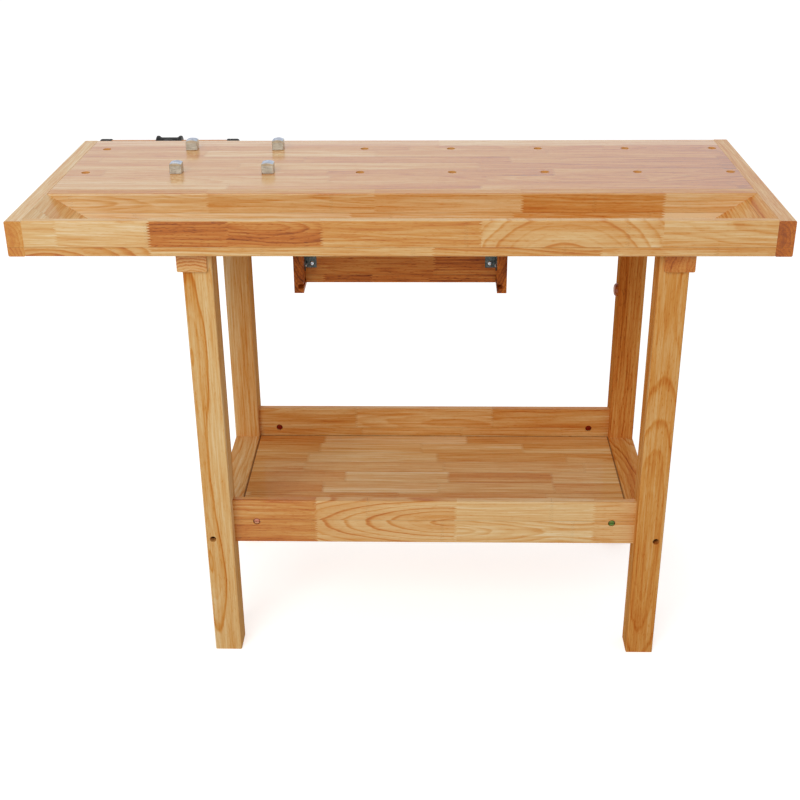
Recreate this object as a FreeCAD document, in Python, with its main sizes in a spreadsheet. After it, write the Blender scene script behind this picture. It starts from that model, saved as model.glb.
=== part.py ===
import FreeCAD, Part

import os
import re

import Sketcher

# A woodworking bench: a laminated top with a tool tray along one long side, a
# drawer and a screw vise on the other, and a knock-down leg frame with a shelf.
#
# X runs along the bench, Y from the tray side to the vise side, Z up. The
# origin is on the floor, in the middle of everything at rest, handle included.
# Names: "tray side" is the -Y side, "vise side" the +Y side, left is -X.

# Driving dimensions, in millimetres.
SIZES = {
    # Overall
    "bench_length": 1270,
    "bench_depth": 521,
    "bench_height": 864,
    "edge_round": 2.5,
    "assembly_gap": 0.3,
    # Top: a glued panel between two deep edge rails
    "panel_thickness": 24,
    "edge_rail_height": 54,
    "front_rail_width": 45,
    "tray_rail_width": 28,
    "tongue_thickness": 8,
    "tongue_depth": 6,
    "cap_thickness": 28,
    "skirt_height": 60,
    "apron_thickness": 16,
    "tray_width": 136,
    "tray_floor_thickness": 6,
    "tray_floor_seat": 6,
    "ramp_run": 70,
    "ramp_toe": 2,
    "cap_dowel_diameter": 10,
    "cap_dowel_length": 50,
    "cap_dowel_depth": 18,
    # Dog holes and bench dogs
    "dog_hole_diameter": 16,
    "dog_spacing": 166.5,
    "dog_end_distance": 61,
    "dog_edge_distance": 66.5,
    "dog_clearance": 0.1,
    "dog_head_width": 23.5,
    "dog_head_height": 20,
    "dog_crown_rise": 2.5,
    "dog_shank_length": 50,
    # Leg frame
    "left_overhang": 277.5,
    "right_overhang": 156.5,
    "frame_depth": 438,
    "frame_setback": 25,
    "leg_width": 50,
    "bearer_height": 40,
    "bearer_shift": 8,
    "bearer_setback": 20,
    "leg_dowel_diameter": 10,
    "leg_dowel_length": 50,
    "leg_dowel_spacing": 24,
    "top_screw_diameter": 8,
    "top_screw_head_diameter": 16,
    "top_screw_head_height": 5,
    "top_screw_length": 65,
    "long_rail_height": 88,
    "long_rail_thickness": 16,
    "long_rail_setback": 21,
    "long_rail_bottom": 230,
    "side_rail_height": 22,
    "side_rail_top": 259,
    "bolt_diameter": 6,
    "bolt_head_diameter": 10,
    "bolt_head_height": 6,
    "counterbore_diameter": 12,
    "counterbore_depth": 18,
    "bolt_hole_clearance": 0.25,
    "side_bolt_inset": 12.5,
    "side_bolt_grip": 60,
    "barrel_nut_inset": 42,
    "barrel_nut_diameter": 12,
    "barrel_nut_play": 0.5,
    "barrel_nut_length": 14,
    "leg_button_diameter": 26,
    "leg_button_height": 8,
    "leg_button_level": 581,
    # Shelf
    "shelf_top": 255.5,
    "shelf_thickness": 12,
    "shelf_gap": 0.5,
    "cleat_width": 18,
    "cleat_height": 12,
    # Drawer and its housing
    "housing_width": 376,
    "runner_thickness": 17,
    "runner_height": 128,
    "runner_inset": 2,
    "groove_height": 8.5,
    "groove_depth": 10,
    "groove_lift": 8,
    "stop_thickness": 16,
    "stop_inset": 44,
    "stop_lift": 4,
    "bracket_leg": 20,
    "bracket_plate": 2,
    "bracket_height": 40,
    "bracket_lift": 33,
    "hanger_length": 22,
    "bracket_screw_inset": 11.5,
    "bracket_screw_margin": 8,
    "bracket_screw_diameter": 4,
    "bracket_screw_length": 12,
    "bracket_screw_head_diameter": 8,
    "bracket_screw_head_height": 1.6,
    "drawer_board": 12,
    "drawer_side_height": 100,
    "drawer_side_gap": 1,
    "drawer_bottom_thickness": 8,
    "drawer_front_thickness": 16,
    "drawer_front_gap": 2,
    "knob_diameter": 34,
    "knob_neck_diameter": 18,
    "knob_length": 26,
    "knob_dowel_diameter": 8,
    "knob_dowel_depth": 12,
    # Vise
    "vise_end_distance": 147,
    "vise_axis_drop": 38,
    "vise_travel": 150,
    "handle_reach": 107,
    "jaw_width": 200,
    "jaw_thickness": 52,
    "jaw_height": 48,
    "jaw_round": 5,
    "moving_plate_width": 140,
    "nut_plate_width": 156,
    "front_plate_height": 36,
    "front_plate_thickness": 6,
    "inner_plate_height": 26,
    "inner_plate_thickness": 8,
    "plate_round": 3,
    "rod_spacing": 120,
    "rod_diameter": 16,
    "bush_wall": 2,
    "running_fit": 0.05,
    "screw_diameter": 22,
    "screw_hole_clearance": 1,
    "screw_journal_diameter": 14,
    "nut_block_length": 20,
    "nut_block_width": 44,
    "nut_block_height": 25,
    "plate_screw_diameter": 5,
    "plate_screw_length": 30,
    "plate_screw_spacing": 70,
    "plate_screw_head_diameter": 9,
    "plate_screw_head_height": 2,
    "clip_diameter": 20,
    "clip_thickness": 2,
    "collar_diameter": 34,
    "collar_thickness": 6,
    "hub_socket_depth": 14,
    "hub_length": 52,
    "hub_diameter": 35,
    "hub_rim_diameter": 42,
    "hub_rim_width": 5,
    "handle_diameter": 25,
    "handle_play": 0.3,
    "handle_length": 292,
    "handle_cap_length": 26,
    "handle_cap_diameter": 29,
    "handle_cap_end": 4,
}

X_AXIS = FreeCAD.Vector(1, 0, 0)
Y_AXIS = FreeCAD.Vector(0, 1, 0)
Z_AXIS = FreeCAD.Vector(0, 0, 1)
UPRIGHT = FreeCAD.Rotation()
# A piece whose own Z axis points to the right, to the left, or away in +Y.
TO_RIGHT = FreeCAD.Rotation(Y_AXIS, 90)
TO_LEFT = FreeCAD.Rotation(Y_AXIS, -90)
TO_VISE_SIDE = FreeCAD.Rotation(X_AXIS, -90)
TO_TRAY_SIDE = FreeCAD.Rotation(X_AXIS, 90)
# An angle bracket turned to hang a board on its left under a rail.
UNDER_RAIL = FreeCAD.Rotation(-X_AXIS, Z_AXIS, Y_AXIS, "XYZ")

document = FreeCAD.newDocument("WorkBench")
sheet = document.addObject("Spreadsheet::Sheet", "dims")
for row, (alias, value) in enumerate(SIZES.items(), start=1):
    sheet.set("A%d" % row, alias)
    sheet.set("B%d" % row, str(value))
    sheet.setAlias("B%d" % row, alias)
document.recompute()

pieces = []


def bound(text):
    """The expression with each size's name pointed at its cell."""
    return re.sub(r"[a-z_]+", lambda word: "dims." * (word.group() in SIZES) + word.group(), text)


def bind(thing, attribute, text):
    """Tie one property of a document object to the sheet."""
    thing.setExpression(attribute, bound(text))


def put(thing, place, rotation=UPRIGHT):
    """Turn an object, then tie where it stands to the sheet."""
    thing.Placement = FreeCAD.Placement(FreeCAD.Vector(), rotation)
    for axis, text in zip("xyz", place):
        bind(thing, "Placement.Base." + axis, text)


def keep(thing):
    """Count an object among the bench's own pieces."""
    pieces.append(thing)
    return thing


def new_body(label, place, rotation=UPRIGHT):
    body = document.addObject("PartDesign::Body", label)
    body.Label = label
    put(body, place, rotation)
    return body


def new_sketch(body, plane, at="0"):
    """An empty sketch parallel to one of the body's planes, at a place on its axis."""
    sketch = body.newObject("Sketcher::SketchObject", "sketch")
    role = plane + "_Plane"
    base = [feature for feature in body.Origin.OriginFeatures if feature.Role == role][0]
    sketch.AttachmentSupport = (base, [""])
    sketch.MapMode = "FlatFace"
    bind(sketch, "AttachmentOffset.Base.z", at if looks_forward(sketch) else "-(%s)" % at)
    return sketch


def looks_forward(sketch):
    """A sketch on an XZ plane looks along -Y; the others look along their axis."""
    return sketch.AttachmentSupport[0][0].Role != "XZ_Plane"


def tie(sketch, kind, target, text):
    """One sketch constraint, measured by the sheet."""
    start = float(sheet.evalExpression(text))
    index = sketch.addConstraint(Sketcher.Constraint(kind, *target, start))
    sketch.setExpression("Constraints[%d]" % index, bound(text))


def draw_outline(sketch, corners, crown=None):
    """A closed outline, anticlockwise, each corner tied to the sheet.

    crown = (side, rise): that side of the outline is an arc that bulges out.
    """
    values = [[float(sheet.evalExpression(text)) for text in corner] for corner in corners]
    points = [FreeCAD.Vector(x, y, 0) for x, y in values]
    count = len(points)
    for side in range(count):
        start = points[side]
        end = points[(side + 1) % count]
        if crown and crown[0] == side:
            bulge = (start + end) / 2 + FreeCAD.Vector(0, sheet.get(crown[1]), 0)
            sketch.addGeometry(Part.Arc(start, bulge, end))
        else:
            sketch.addGeometry(Part.LineSegment(start, end))
    for side in range(count):
        join = (side, 2, (side + 1) % count, 1)
        sketch.addConstraint(Sketcher.Constraint("Coincident", *join))
    for side, (x, y) in enumerate(corners):
        tie(sketch, "DistanceX", (-1, 1, side, 1), x)
        tie(sketch, "DistanceY", (-1, 1, side, 1), y)
    if crown:
        half = "(%s - %s) / 2" % (corners[(crown[0] + 1) % count][0], corners[crown[0]][0])
        radius = "((%s) ^ 2 + %s ^ 2) / (2 * %s)" % (half, crown[1], crown[1])
        tie(sketch, "Radius", (crown[0],), radius)


def draw_circles(sketch, centres, diameter):
    for index, (x, y) in enumerate(centres):
        centre = FreeCAD.Vector(sheet.evalExpression(x), sheet.evalExpression(y), 0)
        radius = float(sheet.evalExpression(diameter)) / 2
        sketch.addGeometry(Part.Circle(centre, Z_AXIS, radius))
        tie(sketch, "DistanceX", (-1, 1, index, 3), x)
        tie(sketch, "DistanceY", (-1, 1, index, 3), y)
        tie(sketch, "Diameter", (index,), diameter)


def pad(body, sketch, length, forward=True):
    """Raise a sketch along its axis, forward or backward."""
    feature = body.newObject("PartDesign::Pad", "pad")
    feature.Profile = (sketch, [""])
    bind(feature, "Length", length)
    feature.Reversed = forward != looks_forward(sketch)
    document.recompute()
    return feature


def pocket(body, sketch, length, forward=True):
    """Sink a sketch and make sure that it took wood or metal away."""
    before = body.Tip.Shape.Volume
    feature = body.newObject("PartDesign::Pocket", "pocket")
    feature.Profile = (sketch, [""])
    bind(feature, "Length", length)
    feature.Reversed = forward == looks_forward(sketch)
    document.recompute()
    if feature.Shape.Volume >= before:
        raise RuntimeError("a cut misses " + body.Label)
    return feature


def drill(body, plane, at, centres, diameter, depth, forward=True):
    """Round holes that start on a plane across one of the body's axes."""
    sketch = new_sketch(body, plane, at)
    draw_circles(sketch, centres, diameter)
    return pocket(body, sketch, depth, forward)


def prism(label, place, plane, corners, length, rotation=UPRIGHT):
    """A piece of one section throughout."""
    body = new_body(label, place, rotation)
    sketch = new_sketch(body, plane)
    draw_outline(sketch, corners)
    pad(body, sketch, length)
    return body


def rectangle(width, height):
    """Corners of a rectangle with one corner on the origin."""
    return [("0", "0"), (width, "0"), (width, height), ("0", height)]


def centred(width, height):
    """Corners of a rectangle about the origin."""
    right = "(%s) / 2" % width
    top = "(%s) / 2" % height
    return [("-" + right, "-" + top), (right, "-" + top), (right, top), ("-" + right, top)]


def board(label, place, size):
    """A plain sawn board, from its lowest, leftmost, nearest corner."""
    return prism(label, place, "XY", rectangle(size[0], size[1]), size[2])


def turned(label, place, rotation, profile):
    """A piece turned on a lathe: radius and height pairs, about its Z axis."""
    body = new_body(label, place, rotation)
    sketch = new_sketch(body, "XZ")
    draw_outline(sketch, profile)
    feature = body.newObject("PartDesign::Revolution", "turning")
    feature.Profile = (sketch, [""])
    feature.ReferenceAxis = (sketch, ["V_Axis"])
    feature.Angle = 360
    document.recompute()
    return body


def round_edges(body, radius, wanted):
    """Round the edges of the piece so far that the test picks out."""
    base = body.Tip
    numbered = enumerate(base.Shape.Edges, start=1)
    names = ["Edge%d" % number for number, edge in numbered if wanted(edge)]
    feature = body.newObject("PartDesign::Fillet", "rounding")
    feature.Base = (base, names)
    bind(feature, "Radius", radius)
    document.recompute()
    return feature


def runs_along(axis):
    """Picks straight outer edges of a board that run along an axis."""
    def wanted(edge):
        if edge.Curve.TypeId != "Part::GeomLine":
            return False
        return abs(edge.Curve.Direction.dot(axis)) > 0.999
    return wanted


def on_outside(body, axis):
    """As runs_along, but only the edges at the corners of the piece's box."""
    box = body.Tip.Shape.BoundBox
    low = (box.XMin, box.YMin, box.ZMin)
    high = (box.XMax, box.YMax, box.ZMax)
    straight = runs_along(axis)

    def wanted(edge):
        if not straight(edge):
            return False
        middle = edge.BoundBox.Center
        faces = 0
        for value, least, most in zip(middle, low, high):
            if min(abs(value - least), abs(value - most)) < 0.001:
                faces += 1
        return faces == 2
    return wanted


def mirrored(source, label, normal, plane_place):
    """The same piece made for the other hand."""
    mirror = document.addObject("Part::Mirroring", label)
    mirror.Label = label
    mirror.Source = source
    mirror.Normal = normal
    axis = "xyz"[[normal.x, normal.y, normal.z].index(1)]
    bind(mirror, "Base." + axis, plane_place)
    document.recompute()
    return mirror


def together(label, members):
    """Separate solids that count as one node."""
    compound = document.addObject("Part::Compound", label)
    compound.Label = label
    compound.Links = members
    document.recompute()
    return compound


def group(label, source, places, rotation=UPRIGHT):
    """Equal small pieces at several places."""
    links = []
    for place in places:
        link = document.addObject("App::Link", label + "_copy")
        link.LinkedObject = source
        put(link, place, rotation)
        links.append(link)
    return together(label, links)


def with_mirror(label, source, normal, plane_place):
    """A piece or a group together with its mirror image."""
    return together(label, [source, mirrored(source, label + "_mirror", normal, plane_place)])


def at_each_leg(label, source):
    """A piece at the near left leg, repeated at the other three."""
    pair = with_mirror(label + "_pair", source, X_AXIS, FRAME_MIDDLE_X)
    return with_mirror(label, pair, Y_AXIS, FRAME_MIDDLE_Y)


# Lines of the bench that many pieces share.
TRAY_SIDE = "-(bench_depth + handle_reach + hub_rim_diameter / 2) / 2"
VISE_SIDE = "(%s + bench_depth)" % TRAY_SIDE
LEFT_END = "-bench_length / 2"
INNER_LENGTH = "(bench_length - 2 * cap_thickness)"
INNER_LEFT = "(%s + cap_thickness)" % LEFT_END
TRAY_EDGE = "(%s + apron_thickness + tray_width)" % TRAY_SIDE
RAIL_UNDERSIDE = "(bench_height - edge_rail_height)"
PANEL_NEAR = "(%s + tray_rail_width)" % TRAY_EDGE
PANEL_WIDTH = "(bench_depth - apron_thickness - tray_width - tray_rail_width - front_rail_width)"
PANEL_FAR = "(%s + %s)" % (PANEL_NEAR, PANEL_WIDTH)
# Heights inside the edge rails, from their undersides.
TONGUE_LOW = "(edge_rail_height - (panel_thickness + tongue_thickness) / 2)"
TONGUE_HIGH = "(%s + tongue_thickness)" % TONGUE_LOW

FRAME_LEFT = "(%s + left_overhang)" % LEFT_END
FRAME_LENGTH = "(bench_length - left_overhang - right_overhang)"
FRAME_MIDDLE_X = "((left_overhang - right_overhang) / 2)"
FRAME_MIDDLE_Y = "(%s + frame_setback + frame_depth / 2)" % TRAY_SIDE
LEG_NEAR = "(%s + frame_setback)" % TRAY_SIDE
LEG_TOP = "(%s - bearer_height)" % RAIL_UNDERSIDE
CLEAR_LENGTH = "(%s - 2 * leg_width)" % FRAME_LENGTH
BEARER_MIDDLE = "(%s - bearer_shift + leg_width / 2)" % FRAME_LEFT
SIDE_BOLT_LEVEL = "(side_rail_top - side_rail_height / 2)"
LONG_BOLT_LEVEL = "(long_rail_bottom + long_rail_height / 2)"
LONG_RAIL_NEAR = "(%s + long_rail_setback)" % LEG_NEAR
BOLT_HOLE = "(bolt_diameter + 2 * bolt_hole_clearance)"

RUNNER_BOTTOM = "(%s - runner_height)" % RAIL_UNDERSIDE
RUNNER_NEAR = "(%s + runner_inset)" % TRAY_EDGE
DRAWER_FRONT_NEAR = "(%s - drawer_front_thickness)" % VISE_SIDE
NEAR_HANGER = "(%s + assembly_gap)" % RUNNER_NEAR
FAR_HANGER = "(%s + assembly_gap)" % PANEL_FAR
# The middle of the pieces between the end caps, from their left ends.
RAIL_MIDDLE = "(%s / 2)" % INNER_LENGTH
BRACKET_SCREW_DEPTH = "(bracket_screw_length - bracket_plate)"
RUNNER_LENGTH = "(%s - assembly_gap - %s)" % (DRAWER_FRONT_NEAR, RUNNER_NEAR)
HALF_HOUSING = "(housing_width / 2 - runner_thickness)"
STOP_NEAR = "(%s + stop_inset)" % RUNNER_NEAR

VISE_X = "(%s + vise_end_distance)" % LEFT_END
VISE_Z = "(bench_height - vise_axis_drop)"
JAW_NEAR = "(%s + assembly_gap)" % VISE_SIDE
JAW_FAR = "(%s + jaw_thickness)" % JAW_NEAR
FRONT_PLATE_FAR = "(%s + front_plate_thickness)" % JAW_FAR
HANDLE_Y = "(%s + handle_reach)" % VISE_SIDE
NUT_PLATE_NEAR = "(%s - inner_plate_thickness)" % PANEL_FAR
# The tie plate stops just short of the nut's block when the jaw is wide open.
TIE_PLATE_FAR = "(%s - nut_block_length - vise_travel - assembly_gap)" % PANEL_FAR
TIE_PLATE_NEAR = "(%s - inner_plate_thickness)" % TIE_PLATE_FAR
ROD_HOLE = "(rod_diameter + 2 * running_fit)"
BUSH_DIAMETER = "(rod_diameter + 2 * bush_wall)"
SCREW_HOLE = "(screw_diameter + 2 * screw_hole_clearance)"
HALF_RODS = "rod_spacing / 2"
# Rods and plate screws, from the vise's axis.
RODS = [("-" + HALF_RODS, "0"), (HALF_RODS, "0")]
PLATE_SCREWS = [("-plate_screw_spacing / 2", "0"), ("plate_screw_spacing / 2", "0")]


def make_top():
    """Panel, edge rails and end caps, with the dog holes through the panel."""
    tongue_low = "((panel_thickness - tongue_thickness) / 2)"
    tongue_high = "(%s + tongue_thickness)" % tongue_low
    far_tongue = "(%s + tongue_depth)" % PANEL_WIDTH
    section = [
        ("0", "0"),
        (PANEL_WIDTH, "0"),
        (PANEL_WIDTH, tongue_low),
        (far_tongue, tongue_low),
        (far_tongue, tongue_high),
        (PANEL_WIDTH, tongue_high),
        (PANEL_WIDTH, "panel_thickness"),
        ("0", "panel_thickness"),
        ("0", tongue_high),
        ("-tongue_depth", tongue_high),
        ("-tongue_depth", tongue_low),
        ("0", tongue_low),
    ]
    place = (INNER_LEFT, PANEL_NEAR, "bench_height - panel_thickness")
    panel = prism("work_surface", place, "YZ", section, INNER_LENGTH)
    first_x = "dog_end_distance - cap_thickness"
    far_row = "(%s + front_rail_width - dog_edge_distance)" % PANEL_WIDTH
    rows = [(first_x, far_row), (first_x, "%s - dog_spacing" % far_row)]
    holes = drill(panel, "XY", "0", rows, "dog_hole_diameter", "panel_thickness")
    repeat = panel.newObject("PartDesign::LinearPattern", "dog_hole_rows")
    repeat.Originals = [holes]
    repeat.Direction = (holes.Profile[0], ["H_Axis"])
    repeat.Mode = "Spacing"
    last_hole = "(bench_length - dog_end_distance - cap_thickness - dog_hole_diameter / 2)"
    bind(repeat, "Offset", "dog_spacing")
    bind(repeat, "Occurrences", "floor(%s / dog_spacing) + 1" % last_hole)
    panel.Tip = repeat
    keep(panel)

    # The vise-side rail is grooved for the panel and bored for the vise.
    section = [
        ("0", "0"),
        ("front_rail_width", "0"),
        ("front_rail_width", "edge_rail_height"),
        ("0", "edge_rail_height"),
        ("0", TONGUE_HIGH),
        ("tongue_depth", TONGUE_HIGH),
        ("tongue_depth", TONGUE_LOW),
        ("0", TONGUE_LOW),
    ]
    place = (INNER_LEFT, PANEL_FAR, RAIL_UNDERSIDE)
    front_rail = prism("front_edge_rail", place, "YZ", section, INNER_LENGTH)
    vise_x = "(vise_end_distance - cap_thickness)"
    vise_z = "(edge_rail_height - vise_axis_drop)"
    rods = [("%s - %s" % (vise_x, HALF_RODS), vise_z), ("%s + %s" % (vise_x, HALF_RODS), vise_z)]
    drill(front_rail, "XZ", "0", rods, BUSH_DIAMETER, "front_rail_width")
    drill(front_rail, "XZ", "0", [(vise_x, vise_z)], SCREW_HOLE, "front_rail_width")
    drill_both_ends(front_rail, [("front_rail_width / 2", "edge_rail_height / 2")])
    drill_for_top_screws(front_rail, "(front_rail_width - bearer_setback) / 2")
    drill_for_plate_screws(front_rail)
    drill_for_hangers(front_rail, "(%s - %s)" % (FAR_HANGER, PANEL_FAR))
    round_edges(front_rail, "edge_round", outer_corner(front_rail, high_y=True))
    keep(front_rail)

    # The tray-side rail is grooved for the panel and rebated for the tray floor.
    section = [
        ("tray_floor_seat", "0"),
        ("tray_rail_width", "0"),
        ("tray_rail_width", TONGUE_LOW),
        ("tray_rail_width - tongue_depth", TONGUE_LOW),
        ("tray_rail_width - tongue_depth", TONGUE_HIGH),
        ("tray_rail_width", TONGUE_HIGH),
        ("tray_rail_width", "edge_rail_height"),
        ("0", "edge_rail_height"),
        ("0", "tray_floor_thickness"),
        ("tray_floor_seat", "tray_floor_thickness"),
    ]
    place = (INNER_LEFT, TRAY_EDGE, RAIL_UNDERSIDE)
    tray_rail = prism("tray_side_rail", place, "YZ", section, INNER_LENGTH)
    drill_both_ends(tray_rail, [("(tray_rail_width - tongue_depth) / 2", "edge_rail_height / 2")])
    drill_for_top_screws(tray_rail, "(tray_floor_seat + tray_rail_width) / 2")
    drill_for_hangers(tray_rail, "(%s - %s)" % (NEAR_HANGER, TRAY_EDGE))
    round_edges(tray_rail, "edge_round", outer_corner(tray_rail, high_y=False))
    keep(tray_rail)

    # End caps close the top, the apron and the tray at both ends.
    place = (LEFT_END, TRAY_SIDE, "bench_height - skirt_height")
    cap = board("end_cap_left", place, ("cap_thickness", "bench_depth", "skirt_height"))
    rail_level = "(skirt_height - edge_rail_height / 2)"
    seats = [
        ("bench_depth - front_rail_width / 2", rail_level),
        ("apron_thickness + tray_width + (tray_rail_width - tongue_depth) / 2", rail_level),
        ("apron_thickness / 2", rail_level),
    ]
    drill(cap, "YZ", "cap_thickness", seats, "cap_dowel_diameter", "cap_dowel_depth", False)
    round_edges(cap, "edge_round", on_outside(cap, Y_AXIS))
    keep(cap)
    keep(mirrored(cap, "end_cap_right", X_AXIS, "0"))

    level = "(bench_height - edge_rail_height / 2)"
    dowel_left = "(%s - cap_dowel_depth)" % INNER_LEFT
    dowels = []
    for number, (y, _) in enumerate(seats):
        place = (dowel_left, "%s + %s" % (TRAY_SIDE, y), level)
        size = ("cap_dowel_diameter", "cap_dowel_length")
        dowels.append(turned_pin("cap_dowel_%d" % number, place, TO_RIGHT, *size))
    keep(with_mirror("end_cap_dowels", together("left_cap_dowels", dowels), X_AXIS, "0"))


def drill_both_ends(body, centres):
    """Dowel holes in both ends of a piece that runs between the end caps."""
    depth = "(cap_dowel_length - cap_dowel_depth)"
    drill(body, "YZ", "0", centres, "cap_dowel_diameter", depth)
    drill(body, "YZ", INNER_LENGTH, centres, "cap_dowel_diameter", depth, False)


def drill_for_top_screws(rail, y):
    """Pilot holes over the two bearers, from the rail's underside."""
    left = "(%s - %s)" % (BEARER_MIDDLE, INNER_LEFT)
    right = "(2 * %s - %s - %s)" % (FRAME_MIDDLE_X, BEARER_MIDDLE, INNER_LEFT)
    depth = "(top_screw_length - bearer_height + top_screw_head_height)"
    drill(rail, "XY", "0", [(left, y), (right, y)], "top_screw_diameter", depth)


def drill_for_plate_screws(rail):
    """Pilot holes for the nut plate, from the rail's inner face."""
    vise_x = "(%s - %s)" % (VISE_X, INNER_LEFT)
    vise_z = "(edge_rail_height - vise_axis_drop)"
    centres = [("%s %s plate_screw_spacing / 2" % (vise_x, sign), vise_z) for sign in "-+"]
    depth = "(plate_screw_length - inner_plate_thickness)"
    drill(rail, "XZ", "0", centres, "plate_screw_diameter", depth)


def drill_for_hangers(rail, y):
    """Pilot holes for the angles that hang the drawer runners, from below."""
    reach = "(housing_width / 2 + bracket_screw_inset)"
    middle_y = "(%s + hanger_length / 2)" % y
    centres = [("%s %s %s" % (RAIL_MIDDLE, sign, reach), middle_y) for sign in "-+"]
    drill(rail, "XY", "0", centres, "bracket_screw_diameter", BRACKET_SCREW_DEPTH)


def outer_corner(body, high_y):
    """Picks the upper long edge on one side of a piece that runs along X."""
    box = body.Tip.Shape.BoundBox
    side = box.YMax if high_y else box.YMin
    straight = runs_along(X_AXIS)

    def wanted(edge):
        middle = edge.BoundBox.Center
        at_corner = abs(middle.y - side) < 0.001 and abs(middle.z - box.ZMax) < 0.001
        return straight(edge) and at_corner
    return wanted


def turned_pin(label, place, rotation, diameter, length):
    """A plain round pin along its own Z axis."""
    return turned(label, place, rotation, rectangle("%s / 2" % diameter, length))


def headed_pin(label, place, rotation, shank, head):
    """A bolt or screw: shank and head are (diameter, length). The seat is at zero."""
    profile = [
        ("0", "-" + head[1]),
        ("%s / 2" % head[0], "-" + head[1]),
        ("%s / 2" % head[0], "0"),
        ("%s / 2" % shank[0], "0"),
        ("%s / 2" % shank[0], shank[1]),
        ("0", shank[1]),
    ]
    return turned(label, place, rotation, profile)


def make_tray():
    """The apron, the thin floor and a sloping block at each end of the tray."""
    groove_low = "(skirt_height - edge_rail_height)"
    groove_high = "(%s + tray_floor_thickness)" % groove_low
    groove = "(apron_thickness - tray_floor_seat)"
    section = [
        ("0", "0"),
        ("apron_thickness", "0"),
        ("apron_thickness", groove_low),
        (groove, groove_low),
        (groove, groove_high),
        ("apron_thickness", groove_high),
        ("apron_thickness", "skirt_height"),
        ("0", "skirt_height"),
    ]
    place = (INNER_LEFT, TRAY_SIDE, "bench_height - skirt_height")
    apron = prism("tray_apron", place, "YZ", section, INNER_LENGTH)
    drill_both_ends(apron, [("apron_thickness / 2", "skirt_height - edge_rail_height / 2")])
    round_edges(apron, "edge_round", on_outside(apron, X_AXIS))
    keep(apron)

    near = "(%s + apron_thickness - tray_floor_seat)" % TRAY_SIDE
    size = (INNER_LENGTH, "tray_width + 2 * tray_floor_seat", "tray_floor_thickness")
    keep(board("tray_floor", (INNER_LEFT, near, RAIL_UNDERSIDE), size))

    well = "(edge_rail_height - tray_floor_thickness)"
    section = [
        ("0", "0"),
        ("ramp_run", "0"),
        ("ramp_run", "ramp_toe"),
        ("0", well),
    ]
    floor_top = "(%s + tray_floor_thickness)" % RAIL_UNDERSIDE
    place = (INNER_LEFT, "%s + apron_thickness" % TRAY_SIDE, floor_top)
    ramp = prism("tray_ramp_left", place, "XZ", section, "tray_width")
    keep(ramp)
    keep(mirrored(ramp, "tray_ramp_right", X_AXIS, "0"))


def make_bench_dogs():
    """Four square-headed steel dogs in the second and third pairs of holes."""
    head_top = "dog_head_height - dog_crown_rise"
    row_y = "(%s - dog_edge_distance)" % VISE_SIDE
    for column, side in ((1, "left"), (2, "right")):
        for row, name in ((0, "vise_side"), (1, "tray_side")):
            x = "%s + dog_end_distance + %d * dog_spacing" % (LEFT_END, column)
            y = "%s - %d * dog_spacing" % (row_y, row)
            half = "dog_head_width / 2"
            corners = [("-" + half, "0"), (half, "0"), (half, head_top), ("-" + half, head_top)]
            dog = new_body("bench_dog_%s_%s" % (name, side), (x, y, "bench_height + running_fit"))
            sketch = new_sketch(dog, "XZ", "-dog_head_width / 2")
            draw_outline(sketch, corners, (2, "dog_crown_rise"))
            pad(dog, sketch, "dog_head_width")
            shank = new_sketch(dog, "XY")
            shank_diameter = "(dog_hole_diameter - 2 * dog_clearance)"
            draw_circles(shank, [("0", "0")], shank_diameter)
            pad(dog, shank, "dog_shank_length", False)
            keep(dog)


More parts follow.
